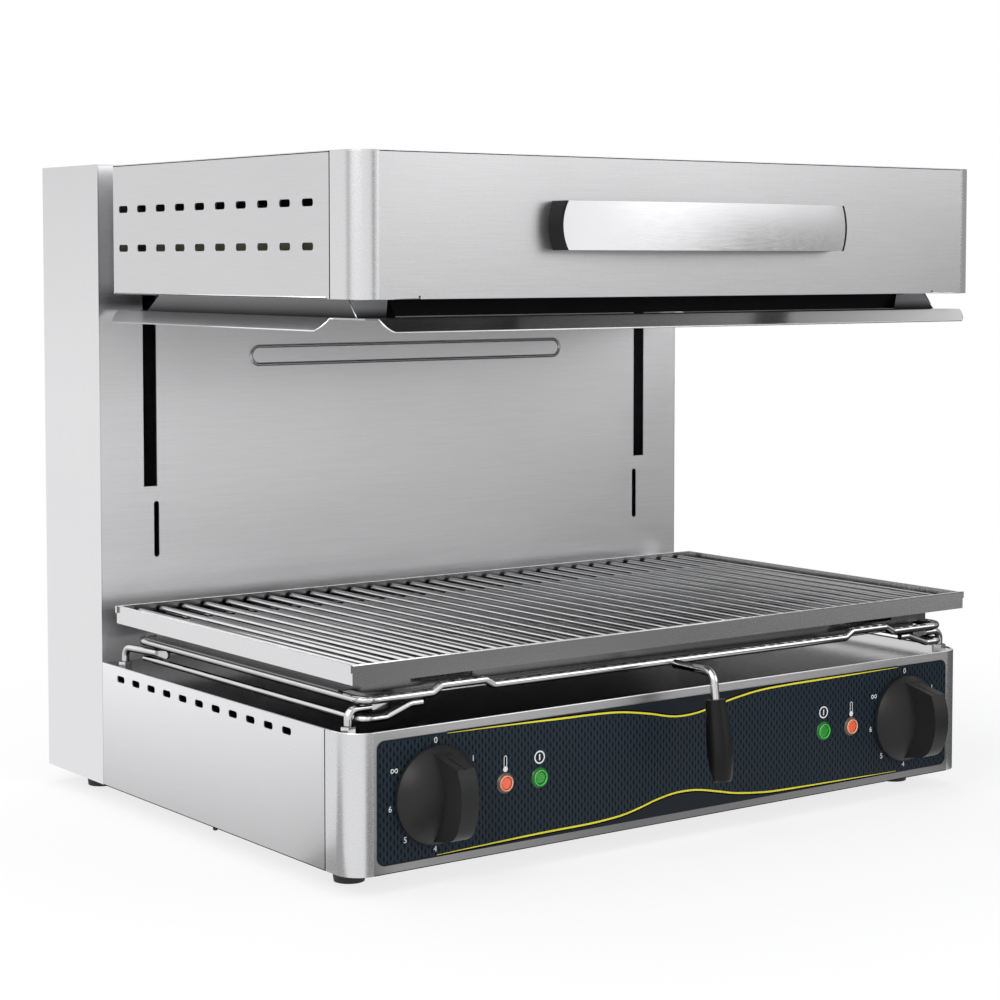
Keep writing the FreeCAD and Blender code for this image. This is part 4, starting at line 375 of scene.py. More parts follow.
looks = {
    "base_floor": steel_plain, "rubber_feet": black_rubber, "base_side_left": steel_base_side,
    "base_side_right": steel_base_side, "base_post_left": steel_post, "base_post_right": steel_post,
    "control_panel": steel_panel, "control_overlay": film_plain, "deck_plate": steel_deck,
    "column_side_left": steel_column, "column_side_right": steel_column, "back_panel": steel_rear,
    "column_top_cap": steel_top, "splash_plate": steel_back, "guide_rods": steel_small,
    "rod_brackets": zinc, "stop_rings": black_rubber, "lift_spring_left": spring_metal,
    "lift_spring_right": spring_metal, "energy_regulators": black_plastic,
    "regulator_shaft_left": steel_small, "regulator_shaft_right": steel_small,
    "knob_left": knob_plastic, "knob_right": knob_plastic, "lamp_bezels": bezel_orange,
    "lamp_lenses_orange": lens_orange, "lamp_lenses_green": lens_green, "cable_gland": black_plastic,
    "terminal_block": ceramic, "back_panel_screws": steel_small, "rack_studs": wire,
    "stud_nuts": steel_small, "head_side_left": steel_side, "head_side_right": steel_side,
    "head_post_left": steel_post, "head_post_right": steel_post, "head_front_panel": steel_front,
    "head_top_cover": steel_top, "head_rear_panel": steel_back, "head_bottom_plate": steel_plain,
    "hood_skirt": steel_skirt, "hood_front_strip": black_strip, "hood_flange": steel_flange,
    "handle_strip": steel_handle, "handle_end_caps": black_plastic, "reflector": foil,
    "insulating_blanket": wool, "heating_element_left": element_metal,
    "heating_element_right": element_metal, "element_holders": ceramic, "lift_carriages": zinc,
    "lift_arms": zinc, "rack_loop": wire, "rack_lower_rails": wire, "rack_pull_rod": wire,
    "rack_grip": black_plastic, "drip_tray": steel_tray, "grid_frame": steel_frame,
    "grid_bars": bar_metal, "grid_cross_wires": bar_metal,
}
for name, material in looks.items():
    item = nodes[name]
    for slot_entry in item.material_slots:
        slot_entry.material = material


def soften(name, width, segments=2):
    """Small rounded edges on a hard-edged piece, so that its rims catch the light."""
    bevel = nodes[name].modifiers.new("edge", "BEVEL")
    bevel.width = width
    bevel.segments = segments
    bevel.limit_method = "ANGLE"
    bevel.angle_limit = math.radians(40)
    bevel.harden_normals = False


for name in ("base_side_left", "base_side_right", "base_post_left", "base_post_right", "control_panel",
             "column_side_left", "column_side_right", "head_side_left", "head_side_right",
             "head_post_left", "head_post_right", "head_front_panel", "head_top_cover",
             "column_top_cap", "hood_flange"):
    soften(name, 0.0003)
soften("grid_frame", 0.0006)
soften("drip_tray", 0.0003)
soften("handle_end_caps", 0.0005)
soften("grid_bars", 0.0008, 3)
soften("stud_nuts", 0.0006)


# Printed marks on the control overlay: they stand a few hundredths of a millimetre proud

OVERLAY_FACE = -0.8
# How far each print stands before the overlay, in millimetres
LATTICE_LIFT, SHADE_LIFT, LINE_LIFT, MARK_LIFT = 0.04, 0.05, 0.06, 0.09


def mesh_piece(name, points, faces, material, body, smooth=False):
    mesh = bpy.data.meshes.new(name)
    mesh.from_pydata([tuple(p) for p in points], [], faces)
    mesh.validate()
    item = bpy.data.objects.new(name, mesh)
    bpy.context.collection.objects.link(item)
    item.data.materials.append(material)
    if smooth:
        for face in mesh.polygons:
            face.use_smooth = True
    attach(item, body)
    return item


def thin_piece(name, points, faces, inward, material, body):
    """Closed thin piece: a sheet of points in the row frame, given thickness by the inward vector."""
    count = len(points)
    every = [Vector(p) for p in points] + [Vector(p) + inward for p in points]
    edges = {}
    for face in faces:
        for a, b in zip(face, face[1:] + face[:1]):
            edges[(a, b)] = edges.get((a, b), 0) + 1
    walls = [(b, a, a + count, b + count) for a, b in edges if (b, a) not in edges]
    backs = [tuple(i + count for i in face[::-1]) for face in faces]
    item = mesh_piece(name, every, list(faces) + backs + walls, material, body)
    shape = bmesh.new()
    shape.from_mesh(item.data)
    bmesh.ops.recalc_face_normals(shape, faces=shape.faces)
    shape.to_mesh(item.data)
    shape.free()
    return item


INK = Vector((0, 0.00003, 0))


def printed(name, points, faces, material):
    """Ink on the overlay: a few hundredths of a millimetre thick."""
    return thin_piece(name, points, faces, INK, material, "base")


def smooth_line(points, steps=14):
    """Catmull-Rom line through points given as (x, z) in millimetres."""
    padded = [points[0]] + list(points) + [points[-1]]
    result = []
    for index in range(1, len(padded) - 2):
        p0, p1, p2, p3 = padded[index - 1:index + 3]
        for step in range(steps):
            t = step / steps
            result.append(tuple(
                0.5 * (2 * b + (c - a) * t + (2 * a - 5 * b + 4 * c - d) * t * t
                       + (3 * b - a - 3 * c + d) * t ** 3)
                for a, b, c, d in zip(p0, p1, p2, p3)))
    result.append(tuple(points[-1]))
    return result


def band(name, line, widths, height, material):
    """Flat printed line on the overlay; widths holds its width at the ends and in the middle."""
    points, faces = [], []
    count = len(line)
    for index, (x, z) in enumerate(line):
        before = line[max(0, index - 1)]
        after = line[min(count - 1, index + 1)]
        dx, dz = after[0] - before[0], after[1] - before[1]
        length = math.hypot(dx, dz) or 1.0
        nx, nz = -dz / length, dx / length
        share = index / (count - 1)
        fade = min(1.0, min(share, 1 - share) / 0.12)
        width = widths[0] + (widths[1] - widths[0]) * fade
        for side in (-0.5, 0.5):
            points.append(row(x + nx * width * side, OVERLAY_FACE - height, z + nz * width * side))
    for index in range(count - 1):
        a = 2 * index
        faces.append((a, a + 2, a + 3, a + 1))
    return printed(name, points, faces, material)


UPPER = [(-221, 106.1), (-175, 105.6), (-122, 104.6), (-88, 104.0), (-64, 102.6), (-37.5, 98.4),
         (-20, 94.6), (-8, 93.3), (4, 93.5), (16, 95.0), (34, 98.6), (52, 101.6), (74, 104.1),
         (104, 105.1), (138, 105.4), (180, 105.7), (223, 106.1)]
LOWER = [(-230, 21.9), (-193, 22.8), (-137, 24.0), (-100, 24.2), (-80, 24.9), (-62, 26.5), (-47, 29.4),
         (-30, 33.4), (-13, 35.8), (2, 35.8), (14, 34.4), (30, 31.2), (48, 27.5), (73, 24.6),
         (97, 23.4), (159, 22.5), (222, 21.8)]
upper_line = smooth_line(UPPER)
lower_line = smooth_line(LOWER)
band("print_line_upper", upper_line, (0.25, 1.35), LINE_LIFT, yellow_ink)
band("print_line_lower", lower_line, (0.25, 1.35), LINE_LIFT, yellow_ink)
band("print_shade_upper", [(x, z + 1.1) for x, z in upper_line], (0.2, 1.2), SHADE_LIFT, dark_line)
band("print_shade_lower", [(x, z - 1.1) for x, z in lower_line], (0.2, 1.2), SHADE_LIFT, dark_line)


def lattice_sheet():
    """The lattice-printed part of the overlay: the whole width, between the two lines."""
    def height_at(line, x):
        if x <= line[0][0]:
            return line[0][1]
        for (x0, z0), (x1, z1) in zip(line, line[1:]):
            if x0 <= x <= x1:
                return z0 + (z1 - z0) * (x - x0) / max(1e-6, x1 - x0)
        return line[-1][1]

    half, low, high, corner = 278.0, 21.2, 106.3, 5.4
    columns = []
    x = -half
    while x < half - 0.01:
        columns.append(x)
        if half - abs(x) < corner:
            x += 0.6
        else:
            x += 3.0
    columns.append(half)
    points, faces = [], []
    for x in columns:
        inset = 0.0
        edge = half - abs(x)
        if edge < corner:
            inset = corner - math.sqrt(max(0.0, corner ** 2 - (corner - edge) ** 2))
        top = min(height_at(upper_line, x), high - inset)
        bottom = max(height_at(lower_line, x), low + inset)
        points.append(row(x, OVERLAY_FACE - LATTICE_LIFT, bottom))
        points.append(row(x, OVERLAY_FACE - LATTICE_LIFT, top))
    for index in range(len(columns) - 1):
        a = 2 * index
        faces.append((a, a + 2, a + 3, a + 1))
    return printed("print_lattice", points, faces, film)


lattice_sheet()


def lettering(name, text, x, z, size):
    """A generic character, raised by the thickness of ink."""
    curve = bpy.data.curves.new(name, "FONT")
    curve.body = text
    curve.size = size / 1000
    curve.align_x = "CENTER"
    curve.align_y = "CENTER"
    curve.resolution_u = 6
    curve.offset = 0.00001
    curve.extrude = 0.00002
    item = bpy.data.objects.new(name, curve)
    bpy.context.collection.objects.link(item)
    mesh = bpy.data.meshes.new_from_object(item)
    bpy.data.objects.remove(item)
    turn = Matrix.Translation(row(x, OVERLAY_FACE - MARK_LIFT, z)) @ Matrix.Rotation(math.radians(90), 4, "X")
    mesh.transform(turn)
    result = bpy.data.objects.new(name, mesh)
    bpy.context.collection.objects.link(result)
    mesh.materials.clear()
    mesh.materials.append(white_ink)
    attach(result, "base")
    return result


def ring_faces(centre, inner, outer, lift, segments=48, squash=1.0, start=0.0, end=360.0):
    points, faces = [], []
    for index in range(segments + 1):
        angle = math.radians(start + (end - start) * index / segments)
        for radius in (inner, outer):
            points.append(row(centre[0] + radius * math.cos(angle) * squash, OVERLAY_FACE - lift,
                              centre[1] + radius * math.sin(angle)))
    for index in range(segments):
        a = 2 * index
        faces.append((a, a + 1, a + 3, a + 2))
    return points, faces


def flat_ring(name, centre, inner, outer, lift, material, **options):
    points, faces = ring_faces(centre, inner, outer, lift, **options)
    return printed(name, points, faces, material)


def flat_line(name, line, width, lift, material):
    points, faces = [], []
    for index, (x, z) in enumerate(line):
        before = line[max(0, index - 1)]
        after = line[min(len(line) - 1, index + 1)]
        dx, dz = after[0] - before[0], after[1] - before[1]
        length = math.hypot(dx, dz) or 1.0
        for side in (-0.5, 0.5):
            points.append(row(x - dz / length * width * side, OVERLAY_FACE - lift,
                              z + dx / length * width * side))
    for index in range(len(line) - 1):
        a = 2 * index
        faces.append((a, a + 2, a + 3, a + 1))
    return printed(name, points, faces, material)


def disc(name, centre, radius, lift, material):
    points, faces = [], []
    for index in range(32):
        angle = 2 * math.pi * index / 32
        points.append(row(centre[0] + radius * math.cos(angle), OVERLAY_FACE - lift,
                          centre[1] + radius * math.sin(angle)))
    faces.append(tuple(range(32)))
    return printed(name, points, faces, material)


def endless_sign(name, x, z):
    """The lying eight that marks continuous running."""
    line = []
    for index in range(65):
        t = 2 * math.pi * index / 64
        line.append((x + 2.65 * math.cos(t), z + 1.35 * math.sin(2 * t)))
    flat_line(name, line, 0.62, MARK_LIFT, white_ink)


# Height of the knobs and lamps, and how far each stands from the middle
CONTROL = 64.3
KNOB, ORANGE_LAMP, GREEN_LAMP = 230.7, 170.8, 140.4
for tag, side in (("l", -1), ("r", 1)):
    knob_x = KNOB * side
    for text, angle in (("0", 0), ("1", 56), ("2", 99), ("3", 139), ("4", 181), ("5", 222), ("6", 262)):
        turn = math.radians(angle)
        # The 2 stands closer in, so that the grip bar hides it from the front left
        reach = 34.5 if text == "2" else 38.4
        lettering("mark_%s_%s" % (tag, text), text, knob_x + reach * math.sin(turn),
                  CONTROL + 38.0 * math.cos(turn), 5.9)
    turn = math.radians(301)
    endless_sign("mark_%s_endless" % tag, knob_x + 40.4 * math.sin(turn), CONTROL + 40.6 * math.cos(turn))

    power = (GREEN_LAMP * side, 79.0)
    flat_ring("power_ring_%s" % tag, power, 3.7, 4.75, MARK_LIFT, white_ink)
    flat_line("power_bar_%s" % tag, [(power[0], power[1] - 2.2), (power[0], power[1] + 2.2)], 1.1,
              MARK_LIFT, white_ink)

    heat = (ORANGE_LAMP * side, 74.3)
    disc("heat_bulb_%s" % tag, heat, 2.0, MARK_LIFT, white_ink)
    for stem, x in (("a", heat[0] - 1.15), ("b", heat[0] + 1.15)):
        flat_line("heat_stem_%s_%s" % (stem, tag), [(x, heat[1] + 1.5), (x, heat[1] + 8.3)], 0.5,
                  MARK_LIFT, white_ink)
    flat_ring("heat_top_%s" % tag, (heat[0], heat[1] + 8.3), 0.9, 1.4, MARK_LIFT, white_ink, segments=16,
              start=0, end=180)


# Lamps: a bright rounded ring round each lens, and the cup that it sits in

def turned_ring(name, centre, profile, material, body):
    """A ring turned from radii and distances in front of the overlay."""
    points, faces = [], []
    count = len(profile)
    segments = 48
    for index in range(segments):
        turn = 2 * math.pi * index / segments
        for radius, lift in profile:
            points.append(row(centre[0] + radius * math.cos(turn), OVERLAY_FACE - lift,
                              centre[1] + radius * math.sin(turn)))
    for index in range(segments):
        after = (index + 1) % segments
        for step in range(count - 1):
            a, b = index * count + step, after * count + step
            faces.append((a, b, b + 1, a + 1))
    return mesh_piece(name, points, faces, material, body, smooth=True)


HALO = [(5.65, 1.3), (5.6, 1.95), (5.3, 2.1), (5.0, 1.95), (4.9, 1.3)]
CUP = [(7.56, 0.02), (7.5, 0.3), (6.75, 1.25), (6.5, 1.35), (5.6, 1.35)]
for side, tag in ((-1, "l"), (1, "r")):
    orange, green = (ORANGE_LAMP * side, CONTROL), (GREEN_LAMP * side, CONTROL)
    turned_ring("lamp_halo_orange_" + tag, orange, HALO, halo_orange, "base")
    turned_ring("lamp_halo_green_" + tag, green, HALO, halo_green, "base")
    turned_ring("lamp_cup_green_" + tag, green, CUP, bezel_green, "base")


# Dark seams between the sheets, and a painted shadow line along the base's lower edge: thin strips that lie
# on the outer faces

# Heights of the sheets' edges, in millimetres above the table
BASE_LOW, DECK = 14.7, 113.0
HEAD_LOW, HEAD_HIGH = 407.1, 505.6


def x_side(side):
    """Just outside the side sheets."""
    return 300.04 * side


def strip(name, corners, inward, material, body):
    """Thin four-cornered strip; inward points to the sheet that it lies on."""
    return thin_piece(name, [row(*c) for c in corners], [(0, 1, 2, 3)], inward, material, body)


def upright_strip(name, x, depths, heights, material, body):
    """Strip on a side face, between two depths and two heights."""
    (a, b), (low, high) = depths, heights
    inward = Vector((-0.00003 if x > 0 else 0.00003, 0, 0))
    return strip(name, [(x, a, low), (x, b, low), (x, b, high), (x, a, high)], inward, material, body)


def front_strip(name, depth, across, heights, material, body):
    """Strip on a front face, between two places across and two heights."""
    (a, b), (low, high) = across, heights
    return strip(name, [(a, depth, low), (b, depth, low), (b, depth, high), (a, depth, high)], INK, material,
                 body)


for side, tag in ((-1, "l"), (1, "r")):
    x = x_side(side)
    upright_strip("seam_base_side_" + tag, x, (32.3, 33.4), (BASE_LOW, DECK), dark_line, "base")
    upright_strip("seam_head_side_" + tag, x, (23.4, 24.5), (HEAD_LOW, HEAD_HIGH + 1.0), dark_line, "head")
    upright_strip("seam_head_top_" + tag, x, (24.5, 337.6), (505.7, 506.3), dark_line, "head")
    # Painted shadow: a dark line along the base's lower edge
    upright_strip("painted_shadow_base_low_" + tag, x, (33.4, 364.0), (14.5, 15.1), dark_line, "base")
    across = (280.3 * side, 281.5 * side)
    front_strip("fold_base_" + tag, -0.03, across, (BASE_LOW, DECK), steel_panel, "base")
    front_strip("fold_head_" + tag, -8.93, across, (HEAD_LOW, HEAD_HIGH), steel_front, "head")
front_strip("seam_head_top_front", -8.94, (-281, 281), (505.7, 506.3), dark_line, "head")
# Painted shadow along the base's lower front edge
front_strip("painted_shadow_base_low_front", -0.04, (-281, 281), (14.5, 15.1), dark_line, "base")


# Folded edges as thin round beads, in a lighter steel than their sheets: painted highlights

def tube(name, points, radius, material, body, sides=8):
    """Closed round bead along points given as across, depth and height in millimetres.

    radius is one number, or one for each point."""
    spots = [row(*p) for p in points]
    ring_points, faces = [], []
    count = len(spots)
    for index, spot in enumerate(spots):
        before = spots[max(0, index - 1)]
        after = spots[min(count - 1, index + 1)]
        ahead = (after - before).normalized()
        helper = Vector((0, 0, 1)) if abs(ahead.z) < 0.9 else Vector((1, 0, 0))
        one = ahead.cross(helper).normalized()
        two = ahead.cross(one).normalized()
        for step in range(sides):
            turn = 2 * math.pi * step / sides
            reach = radius[index] if isinstance(radius, list) else radius
            ring_points.append(spot + (one * math.cos(turn) + two * math.sin(turn)) * reach / 1000)
    for index in range(count - 1):
        for step in range(sides):
            a, b = index * sides + step, index * sides + (step + 1) % sides
            faces.append((a, b, b + sides, a + sides))
    faces.append(tuple(range(sides))[::-1])
    faces.append(tuple(range((count - 1) * sides, count * sides)))
    return mesh_piece(name, ring_points, faces, material, body, smooth=True)


def round_corner(x, depth, radius, side, level, steps=10):
    """Points round a front corner, from the side to the front."""
    turns = [math.pi / 2 * step / steps for step in range(steps + 1)]
    return [(x + side * radius * math.cos(turn), depth - radius * math.sin(turn), level) for turn in turns]


left_round = round_corner(-281, 19, 18.5, -1, DECK)
right_round = round_corner(281, 19, 18.5, 1, DECK)
deck_rim = [(-299.5, 32.6, DECK)] + left_round + right_round[::-1] + [(299.5, 32.6, DECK)]
tube("edge_deck", deck_rim, 0.6, painted_edge_highlight, "base")


def bowed(start, end, bow, steps=6):
    """Points of a shallow curve between two points; bow is how far its middle stands off the chord."""
    line = []
    for index in range(steps + 1):
        share = index / steps
        off = 4 * share * (1 - share)
        line.append(tuple(a + (b - a) * share + c * off for a, b, c in zip(start, end, bow)))
    return line


# The lips' ends are rounded off: out and down by 0.7 of 1.26 mm, and 1.26 mm back along the edge
hem_left = [(-297.0, 347.0, 384.9)]
hem_left += bowed((-297.0, 49.0, 384.9), (-288.5, 42.0, 393.3), (-0.89, -1.26, -0.89))
hem_left += bowed((-281.5, -9.0, 393.3), (-274.5, -17.5, 384.9), (-1.26, -0.89, -0.89))
hem_right = [(-x, depth, height) for x, depth, height in hem_left[::-1]]
tube("edge_flange", hem_left + hem_right, 0.55, painted_edge_highlight, "head")
for side, tag in ((-1, "l"), (1, "r")):
    tube("edge_skirt_" + tag, [(281.1 * side, 19.8, 394.1), (281.1 * side, 29.8, 406.8)], 0.5, painted_edge_highlight,
         "head")
    tube("edge_head_side_" + tag, [(299.9 * side, 29, 408.0), (299.9 * side, 336, 408.0)], 0.45, painted_edge_highlight,
         "head")
    upright_strip("seam_head_low_" + tag, x_side(side), (27, 337), (407.0, 407.5), dark_line, "head")
    corner = round_corner(281 * side, 10.1, 18.5, side, HEAD_LOW)
    tube("edge_head_front_" + tag, corner[3:] + [(248.9 * side, -8.6, HEAD_LOW)], 0.5, painted_edge_highlight, "head")
    foot = 257.0 if side < 0 else 236.0
    # Painted shade on the skirt's front corners, darker towards the bottom
    strip("skirt_corner_" + tag, [(281.0 * side, 19.9, 394.0), (foot * side, 19.9, 394.0),
                                  (249.2 * side, 29.9, 406.9), (281.0 * side, 29.9, 406.9)],
          INK * 2, steel_skirt_front, "head")
# Painted shade: a black patch makes the dark of the hood's opening end upright at its left, as seen from the
# front left
thin_piece("skirt_shade", [row(-257.0, 19.9, 394.0), row(-249.2, 19.9, 394.0), row(-249.2, 29.9, 406.9)],
           [(0, 1, 2)], INK * 2, black_strip, "head")


# Painted shade: behind the rim's front strip the hood's foot is black
strip("rim_shade", [(-249.2, 19.9, 394.15), (248.7, 19.9, 394.15), (248.7, 30.0, 394.15),
                    (-249.2, 30.0, 394.15)], Vector((0, 0, -0.00003)), black_strip, "head")

# Rolled edge along the drip tray's front wall, seen under the two humps of the rack's front wire, lighter
# than the tray: painted highlight
tube("edge_tray", [(-262, 20.3, 132.0), (262, 20.3, 132.0)], 0.5, painted_edge_highlight, "tray")
# Grid frame: painted highlight along the outer upper edge of the front
tube("edge_grid", [(-298.2, -0.2, 160.8), (298.2, -0.2, 160.8)], 0.45, painted_edge_highlight, "grid")
# A darker line just under it
strip("shade_grid_front", [(-298, -0.03, 159.0), (298, -0.03, 159.0), (298, -0.03, 160.2),
                           (-298, -0.03, 160.2)],
      INK, frame_shade, "grid")

# Between each two long bars of the grid a shorter one, which rests on the cross wires
BAR_PITCH, BAR_LEVEL, BAR_RADIUS, BAR_BEVEL = 20.1, 155.35, 2.2, 0.6
BAR_FRONT, BAR_REAR, SHORT_BARS = 2.1, 271.5, 28
for index in range(SHORT_BARS):
    x = BAR_PITCH * (index - (SHORT_BARS - 1) / 2)
    depths = (BAR_FRONT, BAR_FRONT + BAR_BEVEL, BAR_REAR - BAR_BEVEL, BAR_REAR)
    tip = BAR_RADIUS - BAR_BEVEL
    tube("grid_short_bar_%02d" % index, [(x, depth, BAR_LEVEL) for depth in depths],
         [tip, BAR_RADIUS, BAR_RADIUS, tip], bar_metal, "grid", sides=16)
# Short dark stub under the base's left edge
tube("base_stub", [(-298.0, 188.0, 12.0), (-298.0, 188.0, 12.5), (-298.0, 188.0, 14.7)], [1.4, 1.85, 1.85],
     black_rubber, "base", sides=16)


# Rounded ridge of the pressed bead in the splash plate, in a darker steel than the plate: painted shade

def stadium(x_half, low, high, steps=16):
    radius = (high - low) / 2
    middle = (high + low) / 2
    line = []
    for index in range(steps + 1):
        turn = -math.pi / 2 + math.pi * index / steps
        line.append((x_half - radius + radius * math.cos(turn), middle + radius * math.sin(turn)))
    for index in range(steps + 1):
        turn = math.pi / 2 + math.pi * index / steps
        line.append((-x_half + radius + radius * math.cos(turn), middle + radius * math.sin(turn)))
    return line


def half_round_ridge(name, line, width, rise, depth, material, body, steps=6):
    """Closed half-round ridge that follows a line on an upright face."""
    points, faces = [], []
    count = len(line)
    for index, (x, z) in enumerate(line):
        before, after = line[index - 1], line[(index + 1) % count]
        dx, dz = after[0] - before[0], after[1] - before[1]
        length = math.hypot(dx, dz) or 1.0
        for step in range(steps + 1):
            turn = math.pi * step / steps
            offset = width / 2 * math.cos(turn)
            points.append(row(x + dz / length * offset, depth - rise * math.sin(turn),
                              z - dx / length * offset))
    for index in range(count):
        for step in range(steps):
            a = index * (steps + 1) + step
            b = ((index + 1) % count) * (steps + 1) + step
            faces.append((a, b, b + 1, a + 1))
    return mesh_piece(name, points, faces, material, body, smooth=True)


half_round_ridge("bead_ridge", stadium(161.2, 347.2, 362.1), 3.0, 1.6, 364.65, bead_steel, "base")

# Camera, as solved from the object's edges in the photograph
camera_data = bpy.data.cameras.new("camera")
camera = bpy.data.objects.new("camera", camera_data)
bpy.context.collection.objects.link(camera)
camera.location = (-1.1468, -1.3140 - MIDDLE, 0.4320)
azimuth, elevation = math.radians(36.487), math.radians(3.409)
ahead = Vector((math.sin(azimuth) * math.cos(elevation), math.cos(azimuth) * math.cos(elevation),
                -math.sin(elevation)))
camera.rotation_mode = "QUATERNION"
camera.rotation_quaternion = ahead.to_track_quat("-Z", "Y")
# The focal length is 2.3424 widths of the picture
camera_data.sensor_width = 36.0
camera_data.lens = camera_data.sensor_width * 2.3424
camera_data.shift_x = 0.0
camera_data.shift_y = -0.0986
camera_data.clip_start = 0.05
camera_data.clip_end = 60.0
bpy.context.scene.camera = camera


# Floor and light

def seen_share(tree):
    """1 for what the camera, a mirroring face or glass sees, and 0 for what only lights the object."""
    path = tree.nodes.new("ShaderNodeLightPath")
    mirrored = math_node(tree, "MAXIMUM", path.outputs["Is Glossy Ray"], path.outputs["Is Transmission Ray"])
    return math_node(tree, "MAXIMUM", path.outputs["Is Camera Ray"], mirrored)


def floor_material():
    material, tree, shader = new_material("floor")
    place = tree.nodes.new("ShaderNodeTexCoord")
    gradient = tree.nodes.new("ShaderNodeVectorMath")
    gradient.operation = "LENGTH"
    tree.links.new(place.outputs["Object"], gradient.inputs[0])
    far = tree.nodes.new("ShaderNodeMapRange")
    far.interpolation_type = "SMOOTHSTEP"
    far.inputs["From Min"].default_value = 0.42
    far.inputs["From Max"].default_value = 0.85
    tree.links.new(gradient.outputs["Value"], far.inputs["Value"])
    fine = noise(tree, mapped(tree, 120), 1.0, 3.0, 0.5)
    tree.links.new(two_tone(tree, fine, (0.90, 0.90, 0.90), (0.94, 0.94, 0.94)), shader.inputs["Base Color"])
    shader.inputs["Roughness"].default_value = 0.85
    white = tree.nodes.new("ShaderNodeEmission")
    white.inputs["Strength"].default_value = 1.0
    lifted = math_node(tree, "ADD", math_node(tree, "MULTIPLY", far.outputs["Result"], 0.25), 0.75)
    factor = math_node(tree, "MULTIPLY", lifted, seen_share(tree))
    mix = tree.nodes.new("ShaderNodeMixShader")
    tree.links.new(factor, mix.inputs["Fac"])
    tree.links.new(shader.outputs["BSDF"], mix.inputs[1])
    tree.links.new(white.outputs["Emission"], mix.inputs[2])
    tree.links.new(mix.outputs["Shader"], tree.nodes["Material Output"].inputs["Surface"])
    return material


floor_mesh = bpy.data.meshes.new("floor")
floor_mesh.from_pydata([(-12, -12, 0), (12, -12, 0), (12, 12, 0), (-12, 12, 0)], [], [(0, 1, 2, 3)])
floor = bpy.data.objects.new("floor", floor_mesh)
bpy.context.collection.objects.link(floor)
floor.data.materials.append(floor_material())

world = bpy.data.worlds.new("studio")
bpy.context.scene.world = world
world.use_nodes = True
tree = world.node_tree
for node in list(tree.nodes):
    tree.nodes.remove(node)
output = tree.nodes.new("ShaderNodeOutputWorld")
plain = tree.nodes.new("ShaderNodeBackground")
plain.inputs["Color"].default_value = (1, 1, 1, 1)
plain.inputs["Strength"].default_value = 1.0
dim = tree.nodes.new("ShaderNodeBackground")
dim.inputs["Color"].default_value = (0.96, 0.98, 1.0, 1)
dim.inputs["Strength"].default_value = 0.55
mix = tree.nodes.new("ShaderNodeMixShader")
tree.links.new(seen_share(tree), mix.inputs["Fac"])
tree.links.new(dim.outputs["Background"], mix.inputs[1])
tree.links.new(plain.outputs["Background"], mix.inputs[2])
tree.links.new(mix.outputs["Shader"], output.inputs["Surface"])


def soft_light(name, place, target, width, height, watts):
    data = bpy.data.lights.new(name, "AREA")
    data.shape = "RECTANGLE"
    data.size = width
    data.size_y = height
    data.energy = watts
    item = bpy.data.objects.new(name, data)
    bpy.context.collection.objects.link(item)
    item.location = place
    item.rotation_mode = "QUATERNION"
    item.rotation_quaternion = (Vector(target) - Vector(place)).to_track_quat("-Z", "Y")
    return item


def reflected_card(name, corners, tones, across=(0.0, 1.0), up=(0.0, 1.0)):
    """A grey card that only shows as a reflection, so that the steel gets darker bands.

    tones are the card's level at its low near end, how much it gains along X between
    the two across values, and how much it gains upwards between the two up values."""
    mesh = bpy.data.meshes.new(name)
    mesh.from_pydata(corners, [], [(0, 1, 2, 3)])
    item = bpy.data.objects.new(name, mesh)
    bpy.context.collection.objects.link(item)
    material, tree, shader = new_material(name)
    tree.nodes.remove(shader)
    glow = tree.nodes.new("ShaderNodeEmission")
    start, gain_x, gain_z = tones
    place = tree.nodes.new("ShaderNodeTexCoord")
    split = tree.nodes.new("ShaderNodeSeparateXYZ")
    tree.links.new(place.outputs["Object"], split.inputs["Vector"])
    along = spread(tree, split.outputs["X"], 0.0, gain_x, *across)
    upward = spread(tree, split.outputs["Z"], 0.0, gain_z, *up)
    level = math_node(tree, "ADD", math_node(tree, "ADD", along, start), upward)
    tree.links.new(level, glow.inputs["Strength"])
    tree.links.new(glow.outputs["Emission"], tree.nodes["Material Output"].inputs["Surface"])
    mesh.materials.append(material)
    item.visible_camera = False
    item.visible_diffuse = False
    item.visible_shadow = False
    item.visible_transmission = False
    return item


soft_light("key", (-2.2, -1.0, 1.9), (0, 0, 0.2), 1.6, 1.6, 38)
soft_light("fill", (1.6, -2.2, 1.2), (0, 0, 0.25), 1.6, 1.2, 10)
# The lamp overhead only lights: mirrored in the flat tops of the steel it would clip them to white
soft_light("top", (0.0, 0.2, 2.4), (0, 0, 0), 1.8, 1.8, 22).visible_glossy = False
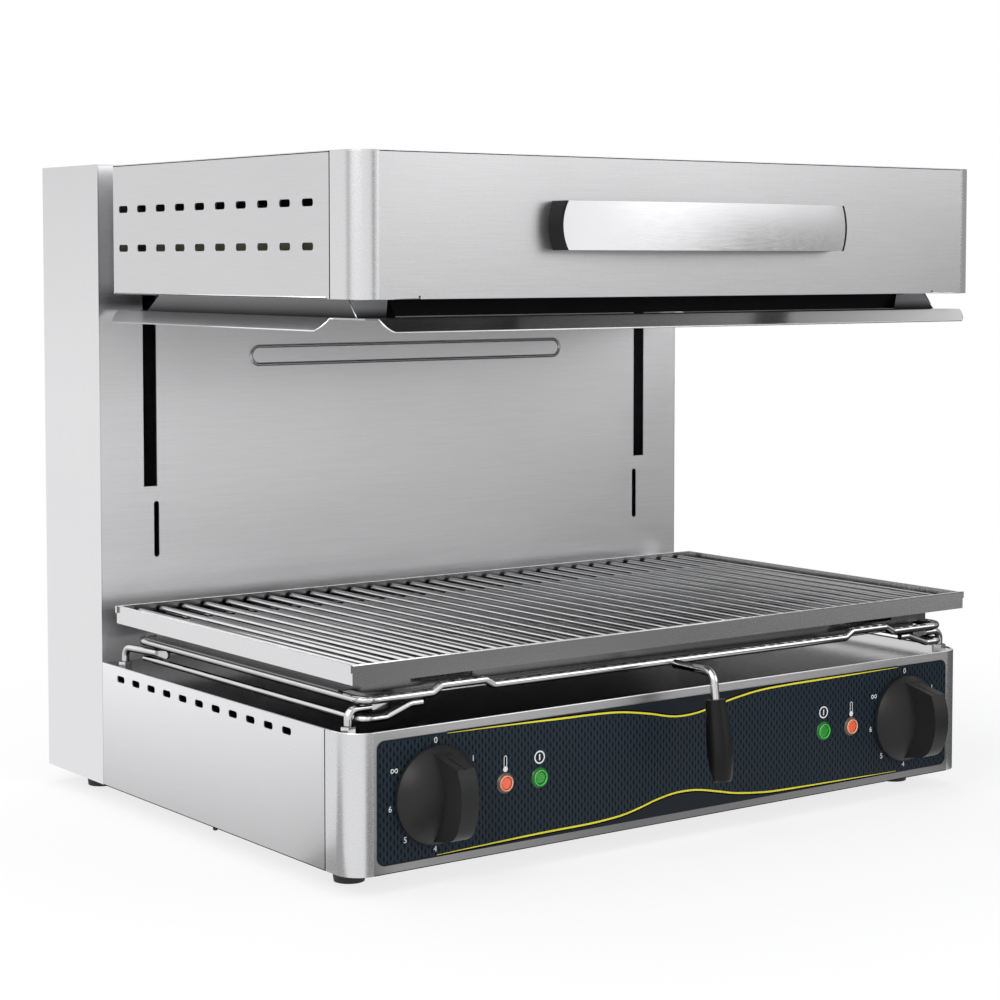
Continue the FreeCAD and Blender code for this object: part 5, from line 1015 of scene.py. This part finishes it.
# Front right, mirrored by the front faces: lighter at its left end, with a bright band for the handle
reflected_card("card_front", [(0.7, -2.9, 0.0), (5.0, -1.6, 0.0), (5.0, -1.6, 3.0), (0.7, -2.9, 3.0)],
               (1.06, -0.8, 0.03), across=(0.8, 2.3), up=(0.9, 1.6))
reflected_card("card_handle", [(0.7, -2.88, 0.49), (5.0, -1.58, 0.56), (5.0, -1.58, 0.8), (0.7, -2.88, 0.72)],
               (1.05, -0.1, 0.0), across=(1.4, 2.8))
reflected_card("card_floor", [(0.2, -2.9, 0.004), (5.0, -2.9, 0.004), (5.0, -0.75, 0.004),
                              (0.2, -0.75, 0.004)],
               (0.62, -0.3, 0.0), across=(0.3, 1.5))
# A narrow dark card behind the camera and one far on the left give the corner posts their bands
reflected_card("card_post_front", [(-0.35, -3.4, 0.0), (0.35, -3.4, 0.0), (0.35, -3.4, 2.4),
                                   (-0.35, -3.4, 2.4)],
               (0.3, 0.0, 0.0))
reflected_card("card_post_side", [(-3.2, -0.1, 0.0), (-3.2, 0.9, 0.0), (-3.2, 0.9, 2.4), (-3.2, -0.1, 2.4)],
               (0.55, 0.0, 0.0))
# The same bands for the lower corner post, which mirrors the floor close by
reflected_card("card_low_front", [(-0.29, -0.23, 0.004), (-0.26, -0.23, 0.004), (0.14, -0.9, 0.004),
                                  (-0.34, -0.9, 0.004)], (0.32, 0.0, 0.0))
reflected_card("card_low_side", [(-0.315, -0.21, 0.004), (-0.62, -0.10, 0.004), (-0.68, 0.14, 0.004),
                                 (-0.315, -0.12, 0.004)], (0.42, 0.0, 0.0))
# Above the front: darkens the lip of the hood's flange, most at its left end
reflected_card("card_above", [(0.1, -1.6, 1.6), (3.0, -1.6, 1.6), (3.0, 0.5, 1.6), (0.1, 0.5, 1.6)],
               (0.07, 0.85, 0.0), across=(0.6, 1.9))
# Right of the object: darkens the far corner posts
reflected_card("card_right", [(2.6, -1.4, 0.0), (2.6, 1.6, 0.0), (2.6, 1.6, 1.6), (2.6, -1.4, 1.6)],
               (0.4, 0.0, 0.0))
reflected_card("card_right_floor", [(0.33, -0.7, 0.004), (2.6, -1.4, 0.004), (2.6, 1.2, 0.004),
                                    (0.33, 0.5, 0.004)],
               (0.12, 0.0, 0.0))

bpy.context.scene.view_settings.view_transform = "Standard"
